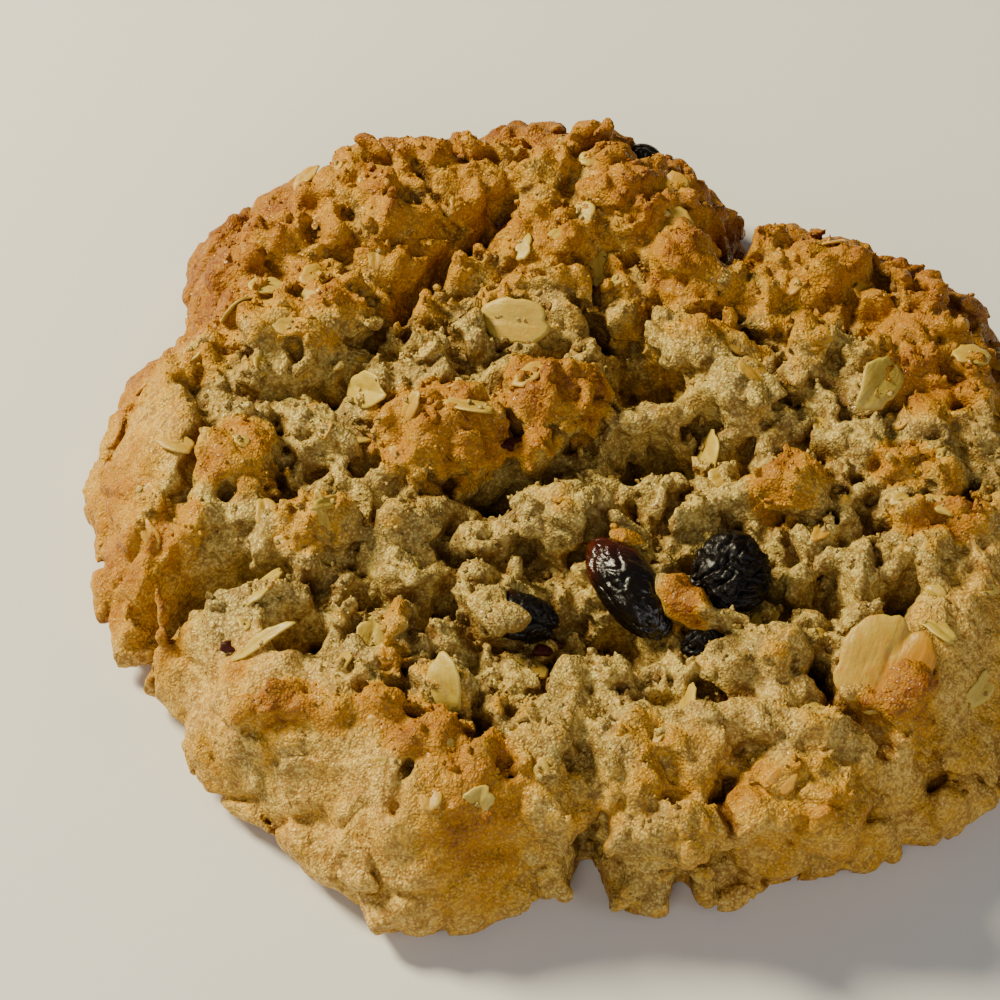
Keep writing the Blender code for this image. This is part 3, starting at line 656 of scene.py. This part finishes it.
flakeForm = {
    "rings": 7, "around": 26,
    "thickness": 0.32,
    "ragged": 0.26, "torn": 0.09,
    "crease": 0.07,
    "fold": (0.0, 0.2), "curl": (-0.14, 0.04),
    "small": 84,                    # flakes of no fixed place, sunk in the crumb
    "smallLength": (0.7, 1.7),
    "seatReach": 0.9,
    "evenSeat": 0.35,
    "big": {"spot": (26.4, -20.7, 12.95), "half": (4.2, 3.8), "facing": (-0.10, -0.46, 0.88), "spin": 82.0, "standOut": 0.5,
            "rings": 18, "around": 72, "thickness": 1.3, "cup": 0.03, "groove": 0.26},
}


def flakeShape(length, width, seed, rings=flakeForm["rings"], count=flakeForm["around"],
               thickness=flakeForm["thickness"], cup=-0.05, groove=0.0):
    ways = np.arange(count) * math.tau / count
    circle = np.stack([np.cos(ways) * 1.7, np.sin(ways) * 1.7, np.full(count, seed * 3.1)], 1)
    edge = flakeForm["ragged"] * softNoise(circle, 1.0, 81) + flakeForm["torn"] * softNoise(circle * 3.0, 1.0, 82)
    edge = 1.0 + edge * (0.6 if groove else 1.0)
    edge -= 0.9 * groove * np.exp(-(((ways + 0.3 + math.pi) % math.tau - math.pi) / 0.22) ** 2)
    shares = np.linspace(0.0, 1.0, rings + 1)[1:]
    flat = (shares[:, None, None] * np.stack([np.cos(ways) * edge, np.sin(ways) * edge], 1)[None]).reshape(-1, 2)
    flat = np.vstack([[0.0, 0.0], flat])
    far = np.concatenate([[0.0], np.repeat(shares, count)])
    places = np.stack([flat[:, 0] * length, flat[:, 1] * width, np.full(len(flat), seed * 2.0)], 1)
    middle = cup * (places[:, 0] ** 2 + places[:, 1] ** 2) / max(length, width)
    if not groove:
        draw = random.Random(seed)
        middle += draw.uniform(*flakeForm["fold"]) * np.abs(places[:, 1])
        middle += draw.uniform(*flakeForm["curl"]) * places[:, 0] ** 2 / length
    middle += 0.13 * softNoise(places, 2.2, 83) + 0.05 * softNoise(places, 0.7, 84) - flakeForm["crease"] * np.exp(-((places[:, 1] / 0.22) ** 2))
    # a groove runs in from the notch
    across = places[:, 1] + 0.3 * places[:, 0]
    middle -= groove * np.exp(-((across / 0.55) ** 2)) * easeAll(-0.25, 0.6, places[:, 0] / length)
    half = 0.5 * thickness * np.sqrt(np.clip(1.0 - 0.85 * far ** 3, 0.0, 1.0))
    top, bottom = places.copy(), places.copy()
    top[:, 2], bottom[:, 2] = middle + half, middle - half
    under = len(top)
    triangles = []
    for step in range(count):
        after = (step + 1) % count
        triangles.append((0, 1 + step, 1 + after))
        triangles.append((under, under + 1 + after, under + 1 + step))
        for ring in range(rings - 1):
            a, b = 1 + ring * count + step, 1 + ring * count + after
            c, d = a + count, b + count
            triangles += [(a, c, d), (a, d, b)]
            triangles += [(under + a, under + d, under + c), (under + a, under + b, under + d)]
        a, b = 1 + (rings - 1) * count + step, 1 + (rings - 1) * count + after
        triangles += [(a, under + a, under + b), (a, under + b, b)]
    spots = np.vstack([places, places])
    spots[:, 2] = seed * 7.3
    return np.vstack([top, bottom]), np.array(triangles), spots, np.concatenate([far, far])


def seatUnder(x, y):
    # mean place and slope of the dough round this spot, and how even it is
    reachOut = flakeForm["seatReach"]
    found = [surfaceUnder(x + reachOut * i, y + reachOut * j) for i, j in ((0, 0), (1, 0), (-1, 0), (0, 1), (0, -1))]
    found = [hit for hit in found if hit[0]]
    slope = sum((normal for _, normal in found), Vector()) / len(found)
    levels = [point.z for point, _ in found]
    level = 0.5 * (sum(levels) / len(levels) + levels[0])
    even = slope.length - 0.3 * (max(levels) - min(levels))
    return Vector((x, y, level)), slope.normalized(), even


def layFlake(points, spot):
    x, y, length, width, turn, lean, roll, standOut = spot[:8]
    point, slope, _ = seatUnder(x, y)
    facing = slope.to_track_quat("Z", "Y")
    pose = Euler((math.radians(lean), math.radians(roll), math.radians(turn))).to_matrix()
    turned = np.array(facing.to_matrix() @ pose)
    return points @ turned.T + np.array(point + 0.35 * standOut * slope)


def smallFlakeSpots():
    draw = random.Random(29)
    spots = []
    while len(spots) < flakeForm["small"]:
        angle = draw.uniform(0.0, 360.0)
        radius = reach(angle) * math.sqrt(draw.uniform(0.0, 0.86))
        x, y = radius * math.cos(math.radians(angle)), radius * math.sin(math.radians(angle))
        taken = [spot[:2] for spot in list(shownFlakes) + spots]
        taken += [spot[0][:2] for spot in raisinCrusts] + [flakeForm["big"]["spot"][:2]]
        if min(math.hypot(x - a, y - b) for a, b in taken) < 2.6 or seatUnder(x, y)[2] < flakeForm["evenSeat"]:
            continue
        length = draw.uniform(*flakeForm["smallLength"])
        spots.append((x, y, length, length * draw.uniform(0.5, 0.85), draw.uniform(0.0, 180.0),
                      draw.uniform(-16.0, 16.0), draw.uniform(-14.0, 14.0), draw.uniform(-0.5, 0.1),
                      draw.uniform(0.1, 0.7)))
    return spots


def joinShapes(parts):
    points, faces, extras, start = [], [], [[] for _ in parts[0][2:]], 0
    for part in parts:
        points.append(part[0])
        faces.append(part[1] + start)
        start += len(part[0])
        for store, values in zip(extras, part[2:]):
            store.append(values)
    return np.vstack(points), np.vstack(faces), [np.concatenate(store) for store in extras]


flakeParts = []
for index, spot in enumerate(list(shownFlakes) + smallFlakeSpots()):
    points, triangles, spots, far = flakeShape(spot[2], spot[3], index + 1)
    flakeParts.append((layFlake(points, spot), triangles, spots, far, np.full(len(points), spot[8])))
points, triangles, (spots, far, toast) = joinShapes(flakeParts)
flakePoints = points
flakes = meshPiece("oatFlakes", points, triangles)
setAttribute(flakes, "flakeSpot", spots, "FLOAT_VECTOR")
setAttribute(flakes, "edgeShare", far)
setAttribute(flakes, "toasted", toast)

big = flakeForm["big"]
points, triangles, spots, far = flakeShape(*big["half"], 3.4, big["rings"], big["around"], big["thickness"],
                                           big["cup"], big["groove"])
point = Vector(big["spot"])
turned = Vector(big["facing"]).to_track_quat("Z", "Y") @ Quaternion((0.0, 0.0, 1.0), math.radians(big["spin"]))
points = points @ np.array(turned.to_matrix()).T + np.array(point + Vector(big["facing"]) * big["standOut"])
bigFlake = meshPiece("bigOatFlake", points, triangles)
setAttribute(bigFlake, "flakeSpot", spots, "FLOAT_VECTOR")
setAttribute(bigFlake, "edgeShare", far)
away = np.hypot(points[:, 0] - 29.2, points[:, 1] + 23.4) / 4.2 + 0.35 * softNoise(points, 1.4, 85)
setAttribute(bigFlake, "toasted", 0.46 + 0.6 * (1.0 - easeAll(0.3, 1.25, away)))
report(f"oat flakes, {len(flakeParts) + 1}")

# loose crumbs: irregular grains on the broken dough, as count, subdivisions, smallest and largest size
crumbForm = {"coarse": (1350, 2, 0.15, 0.48), "fine": (3900, 1, 0.09, 0.23), "onFlakes": 150}


def grainBall(subdivisions):
    shape = bmesh.new()
    bmesh.ops.create_icosphere(shape, subdivisions=subdivisions, radius=1.0)
    corner = np.array([vertex.co for vertex in shape.verts])
    triangles = np.array([[vertex.index for vertex in face.verts] for face in shape.faces])
    shape.free()
    return corner, triangles


def crumbGrains():
    draw = np.random.default_rng(17)
    weight = doughCrumb * np.clip(normals[:, 2], 0.0, 1.0) + 0.02 * (normals[:, 2] > 0.5)
    flakeNormals = vertexNormals(flakes.data)
    onFlakes = draw.choice(np.flatnonzero(flakeNormals[:, 2] > 0.3), crumbForm["onFlakes"], replace=False)
    parts = []
    for kind in ("coarse", "fine"):
        count, subdivisions, smallest, largest = crumbForm[kind]
        corner, triangles = grainBall(subdivisions)
        chosen = draw.choice(len(doughPoints), count, replace=False, p=weight / weight.sum())
        hosts = [(doughPoints[index], normals[index], (openness[index], doughCrumb[index], doughToasted[index]))
                 for index in chosen]
        if kind == "coarse":
            hosts += [(flakePoints[index], flakeNormals[index], (1.0, 1.0, 0.1)) for index in onFlakes]
        for index, (point, normal, looks) in enumerate(hosts):
            size = smallest + (largest - smallest) * draw.random() ** 2.5
            rough = 1.0 + 0.7 * softNoise(corner + index * 0.37, 0.9, 91)
            stretch = draw.uniform(0.5, 1.25, 3)
            grain = corner * rough[:, None] * stretch * size + point + normal * size * 0.1
            parts.append((grain, triangles, *[np.full(len(corner), value) for value in looks]))
    return joinShapes(parts)


points, triangles, shared = crumbGrains()
grains = meshPiece("crumbGrains", points, triangles)
for name, values in zip(("openness", "crumb", "toasted"), shared):
    setAttribute(grains, name, values)
report(f"crumb grains, {len(triangles)} triangles")


def raisinShape(name, facts):
    around, rings = 128, 76
    ways, heights = np.meshgrid(np.arange(around) * math.tau / around, np.linspace(0.0, math.pi, rings + 1)[1:-1])
    ball = np.stack([np.cos(ways) * np.sin(heights), np.sin(ways) * np.sin(heights), np.cos(heights)], 2).reshape(-1, 3)
    ball = np.vstack([ball, [[0.0, 0.0, 1.0], [0.0, 0.0, -1.0]]])
    half = np.array([facts["half"][2], facts["half"][1], facts["half"][0]])
    seed = facts["centre"][0]
    length = ball * half
    stretched = length * np.array([1.0, 1.0, 0.42])
    sway = np.stack([softNoise(length, 2.4, 101 + axis) for axis in range(3)], 1) * 0.9
    folds = 1.0 - np.abs(softNoise(stretched + sway + seed, 1.25, 105)) * 2.6
    fine = 1.0 - np.abs(softNoise(length + 0.6 * sway + seed, 0.62, 106)) * 2.6
    dents = softNoise(length + seed, 3.0, 107)
    fold = facts["fold"]
    depth = fold * np.clip(folds, 0.0, 1.0) ** 1.6 + 0.4 * fold * np.clip(fine, 0.0, 1.0) ** 1.5
    size = 1.0 - depth * 0.62 + 0.09 * dents - 0.02
    size = np.minimum(size, 1.0)
    points = length * size[:, None]
    turned = np.array(raisinPose(facts).to_matrix())
    points = points @ turned.T + np.array(facts["centre"])
    triangles = []
    for ring in range(rings - 2):
        for step in range(around):
            after = (step + 1) % around
            a, b = ring * around + step, ring * around + after
            triangles += [(a, a + around, b + around), (a, b + around, b)]
    top, bottom = len(ball) - 2, len(ball) - 1
    for step in range(around):
        after = (step + 1) % around
        triangles.append((top, step, after))
        last = (rings - 2) * around
        triangles.append((bottom, last + after, last + step))
    piece = meshPiece(name + "_skin", points, np.array(triangles), name)
    # hollow: how deep each fold is; the skin colour uses it for painted shade in the folds
    setAttribute(piece, "hollow", np.clip(depth / (1.2 * fold), 0.0, 1.0))
    setAttribute(piece, "skinSpot", length + seed * 3.0, "FLOAT_VECTOR")
    red = facts["red"] * easeAll(0.0, 0.9, -ball[:, 2] + 0.5 * dents)
    setAttribute(piece, "reddish", red)
    return piece


raisinPieces = {name: raisinShape(name, facts) for name, facts in raisins.items()}

# torn bits of raisin skin on the dough: x, y, size
raisinBits = {"spots": ((-25.4, -18.6, 0.75), (-0.6, -18.0, 0.7), (0.6, -17.0, 0.5), (-3.4, 1.0, 0.9), (8.2, -9.4, 0.6),
                        (24.0, 5.5, 0.45)), "sink": 0.1}


def raisinBitShapes():
    corner, triangles = grainBall(3)
    parts = []
    for x, y, size in raisinBits["spots"]:
        point, _ = surfaceUnder(x, y)
        rough = 1.0 + 0.6 * softNoise(corner + x, 0.8, 111)
        bit = corner * rough[:, None] * np.array([1.0, 0.7, 0.6]) * size + np.array(point)
        bit[:, 2] -= raisinBits["sink"]
        parts.append((bit, triangles, corner * 2.0 + x, rough * 0.4, np.full(len(corner), 0.8)))
    return joinShapes(parts)


points, triangles, (spots, hollow, red) = raisinBitShapes()
bits = meshPiece("raisinBits", points, triangles)
setAttribute(bits, "skinSpot", spots, "FLOAT_VECTOR")
setAttribute(bits, "hollow", hollow)
setAttribute(bits, "reddish", red)
report("raisins")


# materials: one class wraps a socket, so that shader maths reads as an expression
class Wire:
    def __init__(self, recipe, socket):
        self.recipe, self.socket = recipe, socket

    def calc(self, operation, *values, clamp=False):
        return self.recipe.node("ShaderNodeMath", {"operation": operation, "use_clamp": clamp},
                                dict(enumerate(values)))

    def __add__(self, other): return self.calc("ADD", self, other)
    def __radd__(self, other): return self.calc("ADD", other, self)
    def __sub__(self, other): return self.calc("SUBTRACT", self, other)
    def __rsub__(self, other): return self.calc("SUBTRACT", other, self)
    def __mul__(self, other): return self.calc("MULTIPLY", self, other)
    def __rmul__(self, other): return self.calc("MULTIPLY", other, self)
    def __truediv__(self, other): return self.calc("DIVIDE", self, other)
    def __pow__(self, other): return self.calc("POWER", self, other)

    def also(self, out):
        return Wire(self.recipe, self.socket.node.outputs[out])

    def clamped(self):
        return self.calc("ADD", self, 0.0, clamp=True)

    def eased(self, low, high, fromValue=0.0, toValue=1.0):
        return self.recipe.node("ShaderNodeMapRange", {"interpolation_type": "SMOOTHSTEP"},
                                {"Value": self, "From Min": low, "From Max": high,
                                 "To Min": fromValue, "To Max": toValue})


class Recipe:
    def __init__(self, name):
        self.material = bpy.data.materials.new(name)
        self.material.use_nodes = True
        self.tree = self.material.node_tree
        self.shader = self.tree.nodes["Principled BSDF"]

    def node(self, kind, settings=None, sockets=None, out=0):
        made = self.tree.nodes.new(kind)
        for name, value in (settings or {}).items():
            if name == "stops":
                ramp = made.color_ramp.elements
                while len(ramp) < len(value):
                    ramp.new(0.5)
                for stop, (position, colour) in zip(ramp, value):
                    stop.position, stop.color = position, (*colour, 1.0)
            else:
                setattr(made, name, value)
        for name, value in (sockets or {}).items():
            self.feed(made.inputs[name], value)
        return Wire(self, made.outputs[out])

    def feed(self, socket, value):
        if isinstance(value, Wire):
            self.tree.links.new(value.socket, socket)
        elif isinstance(value, tuple) and len(value) == 3 and socket.type == "RGBA":
            socket.default_value = (*value, 1.0)
        else:
            socket.default_value = value

    def attribute(self, name, out="Fac"):
        return self.node("ShaderNodeAttribute", {"attribute_name": name}, out=out)

    def place(self):
        return self.node("ShaderNodeTexCoord", out="Object")

    def noise(self, size, place, detail=2.0, roughness=0.5):
        return self.node("ShaderNodeTexNoise", {}, {"Vector": place, "Scale": 1.0 / (size * mm), "Detail": detail,
                                                    "Roughness": roughness}, out="Fac")

    def cells(self, size, place, feature="F1", out="Distance"):
        return self.node("ShaderNodeTexVoronoi", {"feature": feature}, {"Vector": place, "Scale": 1.0 / (size * mm)},
                         out=out)

    def blend(self, share, first, second, mode="MIX"):
        return self.node("ShaderNodeMix", {"data_type": "RGBA", "blend_type": mode, "clamp_factor": True},
                         {0: share, 6: first, 7: second}, out=2)

    def bump(self, height, strength, distance, normal=None):
        sockets = {"Height": height, "Strength": strength, "Distance": distance * mm}
        if normal:
            sockets["Normal"] = normal
        return self.node("ShaderNodeBump", {}, sockets)

    def finish(self, **sockets):
        for name, value in sockets.items():
            self.feed(self.shader.inputs[name.replace("_", " ")], value)
        return self.material


doughFinish = {
    "paleCrumb": (0.565, 0.43, 0.105),
    "tipHighlight": (0.78, 0.635, 0.205),
    "greyCrumb": (0.325, 0.235, 0.062),
    "sandyCrust": (0.75, 0.505, 0.11),
    "tanCrust": (0.52, 0.305, 0.055),
    "amber": (0.60, 0.325, 0.014),
    "golden": (0.46, 0.195, 0.0),
    "deepBrown": (0.23, 0.066, 0.002),
    "paintedHollowShade": (0.40, 0.23, 0.05),
    "shadeBetweenGrains": (0.66, 0.52, 0.34),
    "sugar": (0.84, 0.64, 0.22),
    "bran": (0.26, 0.12, 0.02),
    "grain": 0.25, "grainHeight": 0.055, "lumpHeight": 0.34, "sandHeight": 0.05,    # mm
}


def doughMaterial():
    r = Recipe("baked dough")
    place = r.place()
    toasted, crumb, openness = r.attribute("toasted"), r.attribute("crumb"), r.attribute("openness")
    patch = r.noise(3.4, place, 3.0, 0.6)
    speckle = r.noise(0.75, place, 2.0, 0.6)
    drift = r.node("ShaderNodeTexNoise", {}, {"Vector": place, "Scale": 1.0 / (0.8 * mm), "Detail": 1.0}, out="Color")
    warped = r.node("ShaderNodeVectorMath", {"operation": "MULTIPLY_ADD"},
                    {0: drift, 1: (0.4 * mm, 0.4 * mm, 0.4 * mm), 2: place}, out="Vector")
    cell = r.cells(doughFinish["grain"], warped)
    grainTop = (1.0 - cell * cell * 2.4).clamped()
    kind = r.blend(0.0, cell.also("Color"), (0.0, 0.0, 0.0)) * 1.0      # one random value a grain
    sand = r.noise(0.2, place, 1.0, 0.5)
    height = grainTop * doughFinish["grainHeight"] + speckle * doughFinish["lumpHeight"] + sand * doughFinish["sandHeight"]
    base = r.blend(crumb, r.blend((patch * 0.6 + speckle * 0.4).eased(0.4, 0.62), doughFinish["tanCrust"], doughFinish["sandyCrust"]),
                   r.blend((patch * 0.6 + speckle * 0.4).eased(0.41, 0.6), doughFinish["greyCrumb"], doughFinish["paleCrumb"]))
    # painted highlight: broken crumb is made palest on its open tips and grain tops
    base = r.blend(openness.eased(0.72, 0.98, 0.0, 0.6) * crumb * grainTop, base, doughFinish["tipHighlight"])
    tone = toasted + (speckle - 0.5) * 0.7 + (patch - 0.5) * (0.9 - crumb * 0.4) + (kind - 0.5) * 0.3
    colour = r.blend(tone.eased(0.1, 0.54), base, doughFinish["amber"])
    colour = r.blend(tone.eased(0.4, 0.85), colour, doughFinish["golden"])
    colour = r.blend(tone.eased(0.85, 1.15), colour, doughFinish["deepBrown"])
    # painted shade darkens the low parts of the bump between grains; some grains are sugary and pale, some of bran
    colour = r.blend((grainTop * 0.4 + speckle * 1.0).eased(0.3, 0.85, 0.9, 0.0), colour,
                     doughFinish["shadeBetweenGrains"], "MULTIPLY")
    colour = r.blend(kind.eased(0.58, 0.72, 0.0, 0.42) * grainTop * (1.0 - tone * 0.8).clamped(), colour, doughFinish["sugar"])
    colour = r.blend(kind.eased(0.26, 0.39, 0.6, 0.0), colour, doughFinish["bran"])
    # painted shade: the colour is darkened in hollows, the more closed in they are
    colour = r.blend(openness.eased(0.1, 0.75, 0.8, 0.0), colour, doughFinish["paintedHollowShade"], "MULTIPLY")
    return r.finish(Base_Color=colour, Roughness=kind.eased(0.62, 0.74, 0.66, 0.24),
                    Normal=r.bump(height, 1.0, 1.0), Specular_IOR_Level=0.3)


flakeFinish = {
    "cream": (0.43, 0.275, 0.030),
    "pith": (0.50, 0.36, 0.05),
    "rim": (0.60, 0.445, 0.078),
    "toast": (0.50, 0.215, 0.006),
}


def flakeMaterial():
    r = Recipe("oat flake")
    spot, toasted, edge = r.attribute("flakeSpot", "Vector"), r.attribute("toasted"), r.attribute("edgeShare")
    stretched = r.node("ShaderNodeVectorMath", {"operation": "MULTIPLY"}, {0: spot, 1: (0.6, 2.4, 1.0)}, out="Vector")
    fibres = r.node("ShaderNodeTexNoise", {}, {"Vector": stretched, "Scale": 1.4, "Detail": 3.0}, out="Fac")
    mottle = r.node("ShaderNodeTexNoise", {}, {"Vector": spot, "Scale": 1.1, "Detail": 3.0}, out="Fac")
    grain = r.noise(0.3, r.place(), 2.0)
    colour = r.blend((fibres * 0.5 + mottle * 0.5).eased(0.32, 0.66), flakeFinish["cream"], flakeFinish["pith"])
    colour = r.blend(edge.eased(0.6, 0.98, 0.0, 0.55), colour, flakeFinish["rim"])
    tone = toasted + (mottle - 0.5) * 0.9 + (grain - 0.5) * 0.4
    colour = r.blend(tone.eased(0.15, 0.9), colour, flakeFinish["toast"])
    height = fibres * 0.7 + grain * 0.5
    return r.finish(Base_Color=colour, Roughness=(mottle * 0.3 + 0.3).clamped(),
                    Normal=r.bump(height, 0.6, 0.14), Specular_IOR_Level=0.45)


raisinFinish = {
    # skin is the colour in the folds, darkened as painted shade; ridge is the colour on the ridges
    "skin": (0.0022, 0.0014, 0.0012),
    "ridge": (0.0055, 0.0032, 0.0022),
    "red": (0.075, 0.008, 0.003),
}


def raisinMaterial(name, facts):
    r = Recipe(name.replace("_", " ") + " skin")
    spot, hollow, red = r.attribute("skinSpot", "Vector"), r.attribute("hollow"), r.attribute("reddish")
    fine = r.node("ShaderNodeTexNoise", {}, {"Vector": spot, "Scale": 3.2, "Detail": 4.0, "Roughness": 0.6}, out="Fac")
    # painted shade: the skin is darker in its folds than on its ridges
    colour = r.blend(hollow, raisinFinish["ridge"], raisinFinish["skin"])
    colour = r.blend((red * (1.0 - hollow * 0.6)).clamped(), colour, raisinFinish["red"])
    rough = 0.46 - 0.32 * facts["gloss"]
    return r.finish(Base_Color=colour, Roughness=(hollow * 0.18 + (fine - 0.5) * 0.25 + rough).clamped(),
                    Normal=r.bump(fine, 0.45, 0.14), Specular_IOR_Level=0.1 + 0.26 * facts["gloss"],
                    Coat_Weight=0.12 * facts["gloss"],
                    Coat_Roughness=0.12)


baked = doughMaterial()
dough.data.materials.append(baked)
grains.data.materials.append(baked)
oat = flakeMaterial()
flakes.data.materials.append(oat)
bigFlake.data.materials.append(oat)
for name, piece in raisinPieces.items():
    piece.data.materials.append(raisinMaterial(name, raisins[name]))
bits.data.materials.append(raisinMaterial("raisin bit", {"gloss": 0.3}))
report("materials")

# studio: pale floor, soft light, camera at the height and distance of the view
studio = {
    "floor": (0.78, 0.77, 0.75),
    "ambient": (0.96, 0.98, 1.0), "ambientStrength": 0.10,
    # place in metres, size, power, colour
    "lights": (((-0.34, 0.17, 0.31), 0.13, 5.3, (1.0, 0.905, 0.61)),
               ((-0.05, -0.38, 0.27), 0.25, 0.55, (1.0, 0.96, 0.92)),
               ((0.34, -0.22, 0.22), 0.25, 0.40, (1.0, 0.96, 0.92))),
    "elevation": 53.0, "distance": 330.0, "viewWidth": 82.0,
    "aim": (0.017, 3.297, 8.0),     # this point of the view shows aimOffset pixels off the middle
    "aimOffset": (52.0, -20.0),
}


def makeStudio():
    mesh = bpy.data.meshes.new("floor")
    side = 1.2
    mesh.from_pydata([(-side, -side, 0.0), (side, -side, 0.0), (side, side, 0.0), (-side, side, 0.0)], [], [(0, 1, 2, 3)])
    floor = bpy.data.objects.new("floor", mesh)
    floor.location.z = -0.00005
    bpy.context.scene.collection.objects.link(floor)
    r = Recipe("studio floor")
    cloth = r.noise(40.0, r.place(), 2.0)
    mesh.materials.append(r.finish(Base_Color=r.blend(cloth, studio["floor"], tuple(0.97 * c for c in studio["floor"])),
                                   Roughness=0.7))
    world = bpy.data.worlds.new("studio")
    bpy.context.scene.world = world
    world.use_nodes = True
    world.node_tree.nodes["Background"].inputs["Color"].default_value = (*studio["ambient"], 1.0)
    world.node_tree.nodes["Background"].inputs["Strength"].default_value = studio["ambientStrength"]
    for index, (place, size, power, colour) in enumerate(studio["lights"]):
        light = bpy.data.lights.new(f"softbox{index}", "AREA")
        light.shape, light.size, light.energy, light.color = "DISK", size, power, colour
        lamp = bpy.data.objects.new(f"softbox{index}", light)
        lamp.location = place
        lamp.rotation_euler = (Vector(place) - Vector((0.0, 0.0, 0.008))).to_track_quat("Z", "Y").to_euler()
        bpy.context.scene.collection.objects.link(lamp)


def makeCamera():
    turn = math.radians(studio["elevation"])
    back = Vector((0.0, -math.cos(turn), math.sin(turn)))
    up = Vector((0.0, math.sin(turn), math.cos(turn)))
    aimX, aimY, aimZ = studio["aim"]
    place = Vector((-aimX, -aimY, aimZ)) + back * studio["distance"]
    pixels = 1000.0 * studio["distance"] / studio["viewWidth"]
    ahead = -back * pixels + Vector((-studio["aimOffset"][0], 0.0, 0.0)) - up * studio["aimOffset"][1]
    lens = bpy.data.cameras.new("view")
    lens.sensor_width = 36.0
    lens.lens = 36.0 * studio["distance"] / studio["viewWidth"]
    lens.clip_start, lens.clip_end = 0.01, 10.0
    camera = bpy.data.objects.new("view", lens)
    camera.location = place * mm
    camera.rotation_euler = ahead.to_track_quat("-Z", "Y").to_euler()
    bpy.context.scene.collection.objects.link(camera)
    bpy.context.scene.camera = camera


makeStudio()
makeCamera()
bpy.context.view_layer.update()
report("done")
